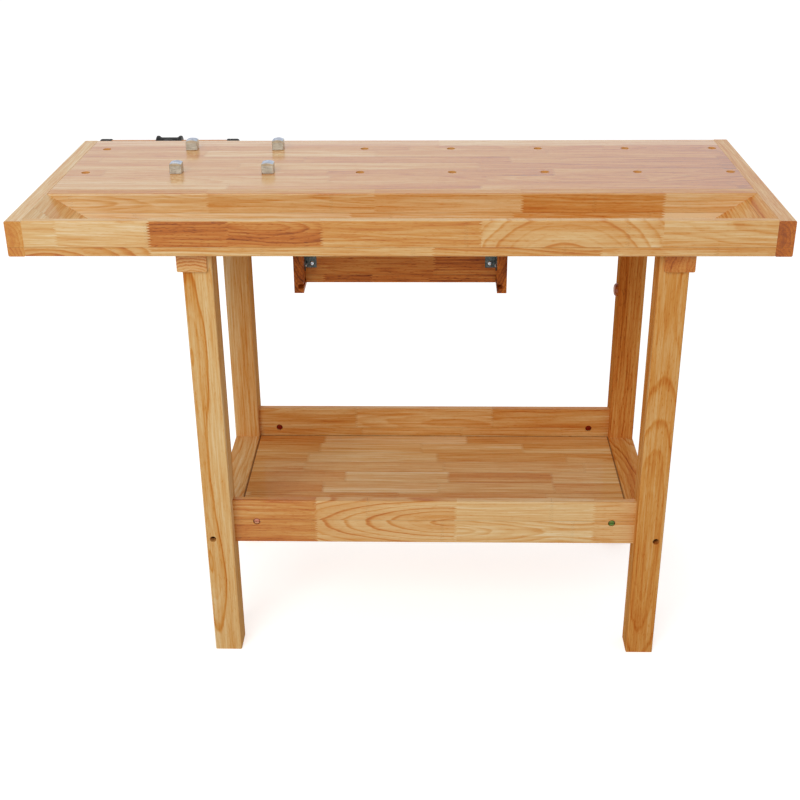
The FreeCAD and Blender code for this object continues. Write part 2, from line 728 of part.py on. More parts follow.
def make_leg_frame():
    """Legs, the bearers under the top, the low side rails and the long rails."""
    tongue = "(leg_width - bearer_shift)"
    section = [
        ("0", "0"),
        ("leg_width", "0"),
        ("leg_width", RAIL_UNDERSIDE),
        (tongue, RAIL_UNDERSIDE),
        (tongue, LEG_TOP),
        ("0", LEG_TOP),
    ]
    leg = prism("leg_tray_side_left", (FRAME_LEFT, LEG_NEAR, "0"), "XZ", section, "leg_width")
    dowels = []
    for sign in ("-", "+"):
        dowel_y = "leg_width / 2 %s leg_dowel_spacing / 2" % sign
        dowels.append(("%s / 2" % tongue, dowel_y))
    half_dowel = "leg_dowel_length / 2"
    drill(leg, "XY", LEG_TOP, dowels, "leg_dowel_diameter", half_dowel, False)
    side_bolt = [("side_bolt_inset", SIDE_BOLT_LEVEL)]
    drill(leg, "XZ", "0", side_bolt, BOLT_HOLE, "leg_width")
    drill(leg, "XZ", "0", side_bolt, "counterbore_diameter", "counterbore_depth")
    rail_middle = "long_rail_setback + long_rail_thickness / 2"
    long_bolt = [(rail_middle, LONG_BOLT_LEVEL)]
    drill(leg, "YZ", "0", long_bolt, BOLT_HOLE, "leg_width")
    drill(leg, "YZ", "0", long_bolt, "counterbore_diameter", "counterbore_depth")
    round_edges(leg, "edge_round", on_outside(leg, Z_AXIS))
    keep(leg)
    leg_right = keep(mirrored(leg, "leg_tray_side_right", X_AXIS, FRAME_MIDDLE_X))
    keep(mirrored(leg, "leg_vise_side_left", Y_AXIS, FRAME_MIDDLE_Y))
    keep(mirrored(leg_right, "leg_vise_side_right", Y_AXIS, FRAME_MIDDLE_Y))

    bearer_left = "%s - bearer_shift" % FRAME_LEFT
    bearer_near = "(%s + bearer_setback)" % TRAY_SIDE
    length = "(bench_depth - 2 * bearer_setback)"
    bearer = board("bearer_left", (bearer_left, bearer_near, LEG_TOP), ("leg_width", length, "bearer_height"))
    far_leg = "(frame_depth - leg_width)"
    under = []
    for x, y in dowels:
        near_y = "(%s + frame_setback - bearer_setback)" % y
        under.append(("bearer_shift + %s" % x, near_y))
        far_y = "2 * (frame_setback - bearer_setback) + frame_depth - %s" % near_y
        under.append(("bearer_shift + %s" % x, far_y))
    drill(bearer, "XY", "0", under, "leg_dowel_diameter", half_dowel)
    from_bearer = "(apron_thickness + tray_width - bearer_setback)"
    screw_rows = [
        "(%s + (tray_floor_seat + tray_rail_width) / 2)" % from_bearer,
        "(bench_depth - (front_rail_width + 3 * bearer_setback) / 2)",
    ]
    screws = [("leg_width / 2", row) for row in screw_rows]
    drill(bearer, "XY", "0", screws, "top_screw_diameter", "bearer_height")
    drill(bearer, "XY", "0", screws, "top_screw_head_diameter", "top_screw_head_height")
    top_screws = []
    for number, row in enumerate(screw_rows):
        place = (BEARER_MIDDLE, "%s + %s" % (bearer_near, row), "%s + top_screw_head_height" % LEG_TOP)
        shank = ("top_screw_diameter", "top_screw_length")
        head = ("top_screw_head_diameter", "top_screw_head_height")
        top_screws.append(headed_pin("top_screw_%d" % number, place, UPRIGHT, shank, head))
    left_screws = together("left_top_screws", top_screws)
    keep(with_mirror("top_screws", left_screws, X_AXIS, FRAME_MIDDLE_X))
    round_edges(bearer, "edge_round", on_outside(bearer, Y_AXIS))
    keep(bearer)
    keep(mirrored(bearer, "bearer_right", X_AXIS, FRAME_MIDDLE_X))

    side_rail_size = ("leg_width", "frame_depth - 2 * leg_width", "side_rail_height")
    side_rail_near = "(%s + leg_width)" % LEG_NEAR
    place = (FRAME_LEFT, side_rail_near, "side_rail_top - side_rail_height")
    side_rail = board("side_rail_left", place, side_rail_size)
    bolt_reach = "(side_bolt_grip - leg_width + counterbore_depth)"
    centre = [("side_bolt_inset", "side_rail_height / 2")]
    drill(side_rail, "XZ", "0", centre, "bolt_diameter", bolt_reach)
    drill(side_rail, "XZ", side_rail_size[1], centre, "bolt_diameter", bolt_reach, False)
    round_edges(side_rail, "edge_round", on_outside(side_rail, Y_AXIS))
    keep(side_rail)
    keep(mirrored(side_rail, "side_rail_right", X_AXIS, FRAME_MIDDLE_X))

    rail_left = "(%s + leg_width)" % FRAME_LEFT
    place = (rail_left, LONG_RAIL_NEAR, "long_rail_bottom")
    rail = board("long_rail_tray_side", place, (CLEAR_LENGTH, "long_rail_thickness", "long_rail_height"))
    middle = "long_rail_height / 2"
    nuts = [("barrel_nut_inset", middle), ("%s - barrel_nut_inset" % CLEAR_LENGTH, middle)]
    nut_bore = "(barrel_nut_diameter + 2 * barrel_nut_play)"
    drill(rail, "XZ", "0", nuts, nut_bore, "long_rail_thickness")
    ends = [("long_rail_thickness / 2", middle)]
    bolt_way = "(barrel_nut_inset + barrel_nut_diameter)"
    drill(rail, "YZ", "0", ends, "bolt_diameter", bolt_way)
    drill(rail, "YZ", CLEAR_LENGTH, ends, "bolt_diameter", bolt_way, False)
    round_edges(rail, "edge_round", on_outside(rail, X_AXIS))
    keep(rail)
    keep(mirrored(rail, "long_rail_vise_side", Y_AXIS, FRAME_MIDDLE_Y))


def make_frame_fasteners():
    """Bolts and barrel nuts of the knock-down joints, and the hidden dowels."""
    head = ("bolt_head_diameter", "bolt_head_height")
    rail_y = "(%s + long_rail_thickness / 2)" % LONG_RAIL_NEAR
    to_nut = "(leg_width - counterbore_depth + barrel_nut_inset)"
    shank = ("bolt_diameter", "(%s + barrel_nut_diameter)" % to_nut)
    place = ("%s + counterbore_depth" % FRAME_LEFT, rail_y, LONG_BOLT_LEVEL)
    bolt = headed_pin("long_rail_bolt", place, TO_RIGHT, shank, head)
    keep(at_each_leg("long_rail_bolts", bolt))

    nut_x = "(%s + leg_width + barrel_nut_inset)" % FRAME_LEFT
    place = (nut_x, "%s - barrel_nut_length / 2" % rail_y, LONG_BOLT_LEVEL)
    size = ("barrel_nut_diameter", "barrel_nut_length")
    nut = turned_pin("barrel_nut", place, TO_VISE_SIDE, *size)
    thread = [("0", "barrel_nut_length / 2")]
    drill(nut, "YZ", "-barrel_nut_diameter / 2", thread, "bolt_diameter", "barrel_nut_diameter")
    keep(at_each_leg("barrel_nuts", nut))

    bolt_x = "%s + side_bolt_inset" % FRAME_LEFT
    place = (bolt_x, "%s + counterbore_depth" % LEG_NEAR, SIDE_BOLT_LEVEL)
    shank = ("bolt_diameter", "side_bolt_grip")
    bolt = headed_pin("side_rail_bolt", place, TO_VISE_SIDE, shank, head)
    keep(at_each_leg("side_rail_bolts", bolt))

    size = ("leg_dowel_diameter", "leg_dowel_length")
    dowel_x = "%s + (leg_width - bearer_shift) / 2" % FRAME_LEFT
    middle_y = "%s + leg_width / 2" % LEG_NEAR
    dowels = []
    for number, sign in enumerate("-+"):
        y = "%s %s leg_dowel_spacing / 2" % (middle_y, sign)
        place = (dowel_x, y, "%s - leg_dowel_length / 2" % LEG_TOP)
        dowels.append(turned_pin("leg_dowel_%d" % number, place, UPRIGHT, *size))
    keep(at_each_leg("leg_dowels", together("leg_dowel_set", dowels)))

    # A turned wooden button on the inner face of the far right leg.
    radius = "leg_button_diameter / 2"
    profile = [
        ("0", "0"),
        (radius, "0"),
        (radius, "leg_button_height / 2"),
        ("leg_button_diameter / 3", "leg_button_height"),
        ("0", "leg_button_height"),
    ]
    button_x = "%s + %s - leg_width" % (FRAME_LEFT, FRAME_LENGTH)
    button_y = "%s + frame_depth - leg_width / 2" % LEG_NEAR
    place = (button_x, button_y, "leg_button_level")
    keep(turned("leg_button", place, TO_LEFT, profile))


def make_shelf():
    """A thin panel that lies between the low rails on two cleats."""
    inner_left = "%s + leg_width" % FRAME_LEFT
    inner_near = "%s + long_rail_thickness" % LONG_RAIL_NEAR
    depth = "(frame_depth - 2 * long_rail_setback - 2 * long_rail_thickness)"
    underside = "(shelf_top - shelf_thickness)"
    place = ("%s + shelf_gap" % inner_left, "%s + shelf_gap" % inner_near, underside)
    size = (CLEAR_LENGTH + " - 2 * shelf_gap", depth + " - 2 * shelf_gap", "shelf_thickness")
    keep(board("shelf_panel", place, size))
    place = (inner_left, inner_near, "%s - cleat_height" % underside)
    cleat = board("shelf_cleat_tray_side", place, (CLEAR_LENGTH, "cleat_width", "cleat_height"))
    keep(cleat)
    keep(mirrored(cleat, "shelf_cleat_vise_side", Y_AXIS, FRAME_MIDDLE_Y))


def angle_plate(label, place, rotation, length, screw_levels):
    """A folded steel angle: one leg along +X, the other along -Y, length along Z."""
    section = [
        ("0", "0"),
        ("bracket_leg", "0"),
        ("bracket_leg", "-bracket_plate"),
        ("bracket_plate", "-bracket_plate"),
        ("bracket_plate", "-bracket_leg"),
        ("0", "-bracket_leg"),
    ]
    plate = prism(label, place, "XY", section, length, rotation)
    size = ("bracket_screw_diameter", "bracket_plate")
    on_x = [("bracket_screw_inset", level) for level in screw_levels]
    drill(plate, "XZ", "-bracket_plate", on_x, *size)
    on_y = [("-bracket_screw_inset", level) for level in screw_levels]
    drill(plate, "YZ", "0", on_y, *size)
    return plate


def make_drawer_housing():
    """Two grooved runners under the top, tied by a stop board and steel angles."""
    section = [
        ("0", "0"),
        ("runner_thickness", "0"),
        ("runner_thickness", "groove_lift"),
        ("runner_thickness - groove_depth", "groove_lift"),
        ("runner_thickness - groove_depth", "groove_lift + groove_height"),
        ("runner_thickness", "groove_lift + groove_height"),
        ("runner_thickness", "runner_height"),
        ("0", "runner_height"),
    ]
    place = ("-housing_width / 2", RUNNER_NEAR, RUNNER_BOTTOM)
    runner = prism("drawer_runner_left", place, "XZ", section, RUNNER_LENGTH)
    low_screw = "(bracket_lift + bracket_screw_margin)"
    high_screw = "(bracket_lift + bracket_height - bracket_screw_margin)"
    beside_stop = "(stop_inset - bracket_screw_inset)"
    corner = [(beside_stop, low_screw), (beside_stop, high_screw)]
    pilot = ("bracket_screw_diameter", BRACKET_SCREW_DEPTH)
    drill(runner, "YZ", "runner_thickness", corner, *pilot, False)
    under_rail = "(runner_height - bracket_screw_inset)"
    hanger_middle = "(hanger_length / 2 - %s)" % RUNNER_NEAR
    hung = []
    for start in (NEAR_HANGER, FAR_HANGER):
        hung.append(("(%s + %s)" % (start, hanger_middle), under_rail))
    drill(runner, "YZ", "0", hung, *pilot)
    keep(runner)
    keep(mirrored(runner, "drawer_runner_right", X_AXIS, "0"))

    stop_width = "(2 * %s)" % HALF_HOUSING
    place = ("-" + HALF_HOUSING, STOP_NEAR, "%s + stop_lift" % RUNNER_BOTTOM)
    stop = board("drawer_stop_board", place, (stop_width, "stop_thickness", "runner_height - stop_lift"))
    corner = []
    for level in (low_screw, high_screw):
        height = "(%s - stop_lift)" % level
        corner.append(("bracket_screw_inset", height))
        corner.append(("%s - bracket_screw_inset" % stop_width, height))
    drill(stop, "XZ", "0", corner, *pilot)
    keep(stop)

    screw_levels = ("bracket_screw_margin", "bracket_height - bracket_screw_margin")
    place = ("-" + HALF_HOUSING, STOP_NEAR, "%s + bracket_lift" % RUNNER_BOTTOM)
    bracket = angle_plate("corner_bracket", place, UPRIGHT, "bracket_height", screw_levels)
    keep(with_mirror("corner_brackets", bracket, X_AXIS, "0"))

    hangers = []
    for number, start in enumerate((NEAR_HANGER, FAR_HANGER)):
        place = ("-housing_width / 2", start, RAIL_UNDERSIDE)
        middle = ("hanger_length / 2",)
        hangers.append(angle_plate("hanger_%d" % number, place, UNDER_RAIL, "hanger_length", middle))
    left_hangers = together("left_hangers", hangers)
    keep(with_mirror("runner_hangers", left_hangers, X_AXIS, "0"))

    # One size of round-headed screw holds every angle.
    shank = ("bracket_screw_diameter", "bracket_screw_length")
    head = ("bracket_screw_head_diameter", "bracket_screw_head_height")
    source = headed_pin("bracket_screw", ("0", "0", "0"), UPRIGHT, shank, head)
    on_stop = []
    on_runner = []
    for level in (low_screw, high_screw):
        z = "%s + %s" % (RUNNER_BOTTOM, level)
        on_stop.append(("bracket_screw_inset - %s" % HALF_HOUSING, "%s - bracket_plate" % STOP_NEAR, z))
        runner_face = "bracket_plate - %s" % HALF_HOUSING
        on_runner.append((runner_face, "%s - bracket_screw_inset" % STOP_NEAR, z))
    into_rail = []
    into_side = []
    for start in (NEAR_HANGER, FAR_HANGER):
        y = "%s + hanger_length / 2" % start
        under = "%s - bracket_plate" % RAIL_UNDERSIDE
        into_rail.append(("-housing_width / 2 - bracket_screw_inset", y, under))
        beside = "-housing_width / 2 - bracket_plate"
        into_side.append((beside, y, "%s - bracket_screw_inset" % RAIL_UNDERSIDE))
    left_screws = [
        group("stop_screws", source, on_stop, TO_VISE_SIDE),
        group("runner_screws", source, on_runner, TO_LEFT),
        group("rail_screws", source, into_rail, UPRIGHT),
        group("hanger_screws", source, into_side, TO_RIGHT),
    ]
    keep(with_mirror("bracket_screws", together("left_bracket_screws", left_screws), X_AXIS, "0"))


def make_drawer():
    """A drawer whose wide bottom slides in the runners' grooves."""
    rear = "(%s + stop_thickness + drawer_side_gap)" % STOP_NEAR
    length = "(%s - %s)" % (DRAWER_FRONT_NEAR, rear)
    half_box = "(%s - drawer_side_gap)" % HALF_HOUSING
    half_bottom = "(%s + groove_depth)" % half_box
    play = "(groove_height - drawer_bottom_thickness) / 2"
    bottom_z = "(%s + groove_lift + %s)" % (RUNNER_BOTTOM, play)
    side_z = "(%s + drawer_bottom_thickness)" % bottom_z
    size = ("2 * " + half_bottom, length, "drawer_bottom_thickness")
    keep(board("drawer_bottom", ("-" + half_bottom, rear, bottom_z), size))
    size = ("drawer_board", length, "drawer_side_height")
    side = board("drawer_side_left", ("-" + half_box, rear, side_z), size)
    keep(side)
    keep(mirrored(side, "drawer_side_right", X_AXIS, "0"))
    inner_width = "(2 * (%s - drawer_board))" % half_box
    size = (inner_width, "drawer_board", "drawer_side_height")
    keep(board("drawer_back", ("-%s / 2" % inner_width, rear, side_z), size))

    front_height = "(runner_height - drawer_front_gap)"
    size = ("housing_width", "drawer_front_thickness", front_height)
    place = ("-housing_width / 2", DRAWER_FRONT_NEAR, RUNNER_BOTTOM)
    front = board("drawer_front", place, size)
    knob_seat = [("housing_width / 2", "%s / 2" % front_height)]
    size = ("knob_dowel_diameter", "knob_dowel_depth")
    drill(front, "XZ", "drawer_front_thickness", knob_seat, *size, False)
    far_edges = on_outside(front, X_AXIS)
    round_edges(front, "edge_round", lambda edge: far_edges(edge) and edge.BoundBox.YMax > 0.001)
    keep(front)
    profile = [
        ("0", "-knob_dowel_depth"),
        ("knob_dowel_diameter / 2", "-knob_dowel_depth"),
        ("knob_dowel_diameter / 2", "0"),
        ("knob_neck_diameter / 2", "0"),
        ("knob_neck_diameter / 2", "knob_length / 3"),
        ("knob_diameter / 2", "knob_length * 2 / 3"),
        ("knob_diameter / 2", "knob_length * 5 / 6"),
        ("knob_diameter / 3", "knob_length"),
        ("0", "knob_length"),
    ]
    place = ("0", VISE_SIDE, "%s + %s / 2" % (RUNNER_BOTTOM, front_height))
    keep(turned("drawer_knob", place, TO_VISE_SIDE, profile))


def vise_plate(label, near, width, height, thickness, rod_hole):
    """A steel plate across both guide rods, drilled for them."""
    place = (VISE_X, near, VISE_Z)
    plate = prism(label, place, "XZ", centred(width, height), thickness)
    drill(plate, "XZ", "0", RODS, rod_hole, thickness)
    return plate


def make_vise_mount():
    """Nut plate and bushes, fixed in the vise-side edge rail."""
    size = ("nut_plate_width", "inner_plate_height", "inner_plate_thickness")
    plate = vise_plate("vise_nut_plate", NUT_PLATE_NEAR, *size, BUSH_DIAMETER)
    block = new_sketch(plate, "XZ")
    draw_outline(block, centred("nut_block_width", "nut_block_height"))
    block_rise = "(nut_block_length - inner_plate_thickness)"
    pad(plate, block, block_rise, False)
    bore = "(screw_diameter + 2 * running_fit)"
    drill(plate, "XZ", "-" + block_rise, [("0", "0")], bore, "nut_block_length")
    drill(plate, "XZ", "0", PLATE_SCREWS, "plate_screw_diameter", "inner_plate_thickness")
    keep(plate)

    length = "(front_rail_width + inner_plate_thickness)"
    place = ("%s - %s" % (VISE_X, HALF_RODS), NUT_PLATE_NEAR, VISE_Z)
    inner = "%s / 2" % ROD_HOLE
    outer = "%s / 2" % BUSH_DIAMETER
    profile = [(inner, "0"), (outer, "0"), (outer, length), (inner, length)]
    bush = turned("guide_bush", place, TO_VISE_SIDE, profile)
    keep(with_mirror("guide_bushes", bush, X_AXIS, VISE_X))

    shank = ("plate_screw_diameter", "plate_screw_length")
    head = ("plate_screw_head_diameter", "plate_screw_head_height")
    place = ("%s - plate_screw_spacing / 2" % VISE_X, NUT_PLATE_NEAR, VISE_Z)
    screw = headed_pin("nut_plate_screw", place, TO_VISE_SIDE, shank, head)
    keep(with_mirror("nut_plate_screws", screw, X_AXIS, VISE_X))


def make_vise_jaw():
    """The wooden jaw with its two guide rods and the plates that tie them."""
    place = (VISE_X, JAW_NEAR, VISE_Z)
    jaw = prism("vise_jaw", place, "XZ", centred("jaw_width", "jaw_height"), "jaw_thickness")
    drill(jaw, "XZ", "0", RODS, ROD_HOLE, "jaw_thickness")
    drill(jaw, "XZ", "0", [("0", "0")], SCREW_HOLE, "jaw_thickness")
    depth = "(plate_screw_length - front_plate_thickness)"
    drill(jaw, "XZ", "jaw_thickness", PLATE_SCREWS, "plate_screw_diameter", depth, False)
    outer = on_outside(jaw, X_AXIS)
    round_edges(jaw, "jaw_round", lambda edge: outer(edge) and edge.BoundBox.YMax > 0.001)
    keep(jaw)

    size = ("moving_plate_width", "front_plate_height", "front_plate_thickness")
    plate = vise_plate("vise_front_plate", JAW_FAR, *size, ROD_HOLE)
    drill(plate, "XZ", "0", PLATE_SCREWS, "plate_screw_diameter", "front_plate_thickness")
    bore = "(screw_diameter + 2 * running_fit)"
    drill(plate, "XZ", "0", [("0", "0")], bore, "front_plate_thickness")
    round_edges(plate, "plate_round", on_outside(plate, Y_AXIS))
    keep(plate)

    size = ("moving_plate_width", "inner_plate_height", "inner_plate_thickness")
    plate = vise_plate("vise_tie_plate", TIE_PLATE_NEAR, *size, ROD_HOLE)
    bore = "(screw_journal_diameter + 2 * running_fit)"
    drill(plate, "XZ", "0", [("0", "0")], bore, "inner_plate_thickness")
    round_edges(plate, "plate_round", on_outside(plate, Y_AXIS))
    keep(plate)

    place = ("%s - %s" % (VISE_X, HALF_RODS), TIE_PLATE_NEAR, VISE_Z)
    length = "(%s - %s)" % (FRONT_PLATE_FAR, TIE_PLATE_NEAR)
    rod = turned_pin("guide_rod", place, TO_VISE_SIDE, "rod_diameter", length)
    keep(with_mirror("guide_rods", rod, X_AXIS, VISE_X))

    shank = ("plate_screw_diameter", "plate_screw_length")
    head = ("plate_screw_head_diameter", "plate_screw_head_height")
    place = ("%s - plate_screw_spacing / 2" % VISE_X, FRONT_PLATE_FAR, VISE_Z)
    screw = headed_pin("front_plate_screw", place, TO_TRAY_SIDE, shank, head)
    keep(with_mirror("front_plate_screws", screw, X_AXIS, VISE_X))


def make_vise_screw():
    """The screw with its collar, and the cast hub that its handle slides in."""
    clip_near = "(%s - clip_thickness - running_fit)" % TIE_PLATE_NEAR
    start = "(%s - clip_thickness)" % clip_near
    shoulder = "(%s + running_fit - %s)" % (TIE_PLATE_FAR, start)
    collar = "(%s + running_fit - %s)" % (FRONT_PLATE_FAR, start)
    hub_near = "(%s + collar_thickness)" % collar
    end = "(%s + hub_socket_depth)" % hub_near
    journal = "screw_journal_diameter / 2"
    thread = "screw_diameter / 2"
    profile = [
        ("0", "0"),
        (journal, "0"),
        (journal, shoulder),
        (thread, shoulder),
        (thread, collar),
        ("collar_diameter / 2", collar),
        ("collar_diameter / 2", hub_near),
        (thread, hub_near),
        (thread, end),
        ("0", end),
    ]
    keep(turned("vise_screw", (VISE_X, start, VISE_Z), TO_VISE_SIDE, profile))

    inner = "(%s + running_fit)" % journal
    profile = [
        (inner, "0"),
        ("clip_diameter / 2", "0"),
        ("clip_diameter / 2", "clip_thickness"),
        (inner, "clip_thickness"),
    ]
    keep(turned("screw_clip", (VISE_X, clip_near, VISE_Z), TO_VISE_SIDE, profile))

    # The hub is a spool on the handle's axis with a neck towards the screw.
    rim = "hub_rim_diameter / 2"
    barrel = "hub_diameter / 2"
    flare = "(hub_rim_width + (hub_rim_diameter - hub_diameter) / 2)"
    profile = [
        ("0", "0"),
        (rim, "0"),
        (rim, "hub_rim_width"),
        (barrel, flare),
        (barrel, "hub_length - %s" % flare),
        (rim, "hub_length - hub_rim_width"),
        (rim, "hub_length"),
        ("0", "hub_length"),
    ]
    place = ("%s - hub_length / 2" % VISE_X, HANDLE_Y, VISE_Z)
    hub = turned("vise_hub", place, TO_RIGHT, profile)
    # The body's own Z axis lies along the handle, its Y axis towards +Y.
    neck_length = "(%s - %s - %s)" % (HANDLE_Y, start, hub_near)
    middle = [("0", "hub_length / 2")]
    neck = new_sketch(hub, "XZ")
    draw_circles(neck, middle, "collar_diameter")
    pad(hub, neck, neck_length, False)
    drill(hub, "XZ", "-" + neck_length, middle, "screw_diameter", "hub_socket_depth")
    bore = "(handle_diameter + 2 * handle_play)"
    drill(hub, "XY", "0", [("0", "0")], bore, "hub_length")
    keep(hub)


def make_vise_handle():
    """A wooden bar with a cast cap at each end, free to slide in the hub."""
    left = "(%s - handle_length / 2)" % VISE_X
    place = ("%s + handle_cap_end" % left, HANDLE_Y, VISE_Z)
    length = "(handle_length - 2 * handle_cap_end)"
    keep(turned_pin("vise_handle", place, TO_RIGHT, "handle_diameter", length))
    inner = "(handle_diameter / 2 + running_fit)"
    outer = "handle_cap_diameter / 2"
    profile = [
        ("0", "0"),
        ("%s - handle_cap_end / 2" % outer, "0"),
        (outer, "handle_cap_end / 2"),
        (outer, "handle_cap_length"),
        (inner, "handle_cap_length"),
        (inner, "handle_cap_end"),
        ("0", "handle_cap_end"),
    ]
    cap = turned("handle_cap", (left, HANDLE_Y, VISE_Z), TO_RIGHT, profile)
    keep(with_mirror("handle_caps", cap, X_AXIS, VISE_X))


make_top()
make_tray()
make_bench_dogs()
make_leg_frame()
make_frame_fasteners()
make_shelf()
make_drawer_housing()
make_drawer()
make_vise_mount()
make_vise_jaw()
make_vise_screw()
make_vise_handle()

document.recompute()
for thing in document.Objects:
    if "Invalid" in thing.State or "Error" in thing.State:
        raise RuntimeError("%s could not be built" % thing.Label)
for piece in pieces:
    if piece.Shape.isNull() or not piece.Shape.isValid():
        raise RuntimeError("%s has no sound shape" % piece.Label)

os.makedirs("parts", exist_ok=True)
for piece in pieces:
    piece.Shape.exportStep("parts/%s.step" % piece.Label)
print("%d sub-parts written" % len(pieces))
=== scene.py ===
import math

import bmesh
import bpy
from mathutils import Matrix, Vector


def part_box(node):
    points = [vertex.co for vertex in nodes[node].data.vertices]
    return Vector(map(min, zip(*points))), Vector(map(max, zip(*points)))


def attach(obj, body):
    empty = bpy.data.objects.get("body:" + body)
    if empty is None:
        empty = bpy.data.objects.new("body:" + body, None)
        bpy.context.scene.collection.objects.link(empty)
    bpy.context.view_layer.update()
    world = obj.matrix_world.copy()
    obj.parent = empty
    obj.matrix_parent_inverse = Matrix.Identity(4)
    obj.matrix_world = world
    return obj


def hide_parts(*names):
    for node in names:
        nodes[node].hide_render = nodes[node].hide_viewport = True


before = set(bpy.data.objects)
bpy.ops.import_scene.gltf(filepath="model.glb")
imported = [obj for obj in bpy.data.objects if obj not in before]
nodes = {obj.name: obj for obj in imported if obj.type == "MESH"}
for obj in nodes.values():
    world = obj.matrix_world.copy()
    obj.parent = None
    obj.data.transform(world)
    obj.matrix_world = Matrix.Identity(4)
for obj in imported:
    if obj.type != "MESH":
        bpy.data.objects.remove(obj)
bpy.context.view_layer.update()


# ----------------
# Work surface: a panel glued up from narrow rubberwood staves, each of them
# finger-jointed from short blocks of changing tone. It is sanded smooth and
# lacquered, and two rows of round holes are bored through it for the dogs.

def wire(tree, socket, value):
    if isinstance(value, bpy.types.NodeSocket):
        tree.links.new(value, socket)
    else:
        socket.default_value = value


def add_node(tree, kind, inputs=(), **settings):
    made = tree.nodes.new(kind)
    for name, value in settings.items():
        setattr(made, name, value)
    for key, value in dict(inputs).items():
        wire(tree, made.inputs[key], value)
    return made


def step(tree, kind, inputs=(), **settings):
    return add_node(tree, "ShaderNode" + kind, inputs, **settings)


def calc(tree, operation, *values):
    return step(tree, "Math", enumerate(values),
                operation=operation).outputs[0]


def add(tree, first, second):
    return calc(tree, "ADD", first, second)


def less(tree, first, second):
    return calc(tree, "SUBTRACT", first, second)


def times(tree, first, second):
    return calc(tree, "MULTIPLY", first, second)


def times_add(tree, first, second, extra):
    return calc(tree, "MULTIPLY_ADD", first, second, extra)


def split(tree, place):
    return step(tree, "SeparateXYZ", {"Vector": place}).outputs


def joined(tree, *parts):
    return step(tree, "CombineXYZ", enumerate(parts)).outputs[0]


def vector(tree, operation, *values, **more):
    return step(tree, "VectorMath", {**dict(enumerate(values)), **more},
                operation=operation).outputs


def stretch(tree, place, factors):
    return vector(tree, "MULTIPLY", place, factors)[0]


def cloud(tree, place, factors, detail=2.0):
    return step(tree, "TexNoise", {
        "Vector": stretch(tree, place, factors), "Scale": 1.0,
        "Detail": detail}).outputs["Fac"]


def lots(tree, place, dimensions="3D"):
    """A random number and a random colour, drawn once for each place."""
    socket = "W" if dimensions == "1D" else "Vector"
    return step(tree, "TexWhiteNoise", {socket: place},
                noise_dimensions=dimensions).outputs


def remap(tree, value, low, high, new_low=0.0, new_high=1.0, smooth=False):
    return step(tree, "MapRange", {
        "Value": value, "From Min": low, "From Max": high, "To Min": new_low,
        "To Max": new_high},
        interpolation_type="SMOOTHSTEP" if smooth else "LINEAR",
    ).outputs["Result"]


# A Mix node has its numbers in the sockets 2 and 3, its colours in 6 and 7.
def choose(tree, test, if_so, if_not):
    return step(tree, "Mix", {0: test, 2: if_not, 3: if_so},
                data_type="FLOAT").outputs[0]


def blend_colours(tree, factor, first, second, blend="MIX"):
    return step(tree, "Mix", {0: factor, 6: first, 7: second},
                data_type="RGBA", blend_type=blend).outputs[2]


def tint(red, green, blue):
    """A display colour, 0 to 255, as the linear colour that a shader takes."""
    linear = []
    for part in (red, green, blue):
        share = part / 255
        linear.append(share / 12.92 if share <= 0.04045
                      else ((share + 0.055) / 1.055) ** 2.4)
    return (*linear, 1.0)


def ramp(tree, value, stops, interpolation="LINEAR"):
    made = step(tree, "ValToRGB", {"Fac": value})
    band = made.color_ramp
    band.interpolation = interpolation
    while len(band.elements) < len(stops):
        band.elements.new(0.5)
    for element, (position, colour) in zip(band.elements, stops):
        element.position = position
        element.color = colour
    return made.outputs["Color"]


def new_group(name, takes, gives, kind="ShaderNodeTree"):
    """A tree whose sockets are named for each kind of value in turn."""
    tree = bpy.data.node_groups.new(name, kind)
    for direction, sockets in (("INPUT", takes), ("OUTPUT", gives)):
        for value_kind, labels in sockets.items():
            for label in labels:
                tree.interface.new_socket(
                    label, in_out=direction,
                    socket_type="NodeSocket" + value_kind)
    return tree, tree.nodes.new("NodeGroupInput").outputs


def give(tree, values):
    out = tree.nodes.new("NodeGroupOutput")
    for label, socket in values.items():
        tree.links.new(socket, out.inputs[label])


def group(tree, inside, values):
    return add_node(tree, "ShaderNodeGroup", values, node_tree=inside).outputs


# Growth rings to a metre: close ones, open ones as round a knot, the widest.
CLOSE_RINGS, OPEN_RINGS, WIDE_RINGS = 185.0, 90.0, 80.0
RING_EDGE = 0.86     # the share of a ring at which its line is darkest
# How deep and how far aside the pith lies and how far it swings, in metres:
# the least or plain value, and what luck or figure adds. Bend and sway are
# in radians to a metre of board, and their widths in metres.
PITH_DEPTH, PITH_ASIDE = (0.010, 0.05), (0.20, -0.17)
PITH_SWING = (0.002, 0.040)
BEND, SWAY, SWAY_WIDTH, WAVE_WIDTH = 6.5, 3.1, 0.010, 0.014
TONE_ZONES = 55.0    # broad zones of tone to a metre across the rings
RUBBERWOOD_TONES = (
    (0.00, tint(243, 221, 180)), (0.22, tint(230, 190, 130)),
    (0.44, tint(215, 152, 77)), (0.66, tint(196, 113, 42)),
    (0.86, tint(150, 76, 26)), (1.00, tint(104, 48, 16)))
# The seam tint darkens the glued joints, and is also the colour of the painted
# gap shadow at the shelf's edges.
ROSE_TINT, SEAM_AND_GAP_SHADE_TINT = tint(255, 224, 204), tint(96, 54, 26)


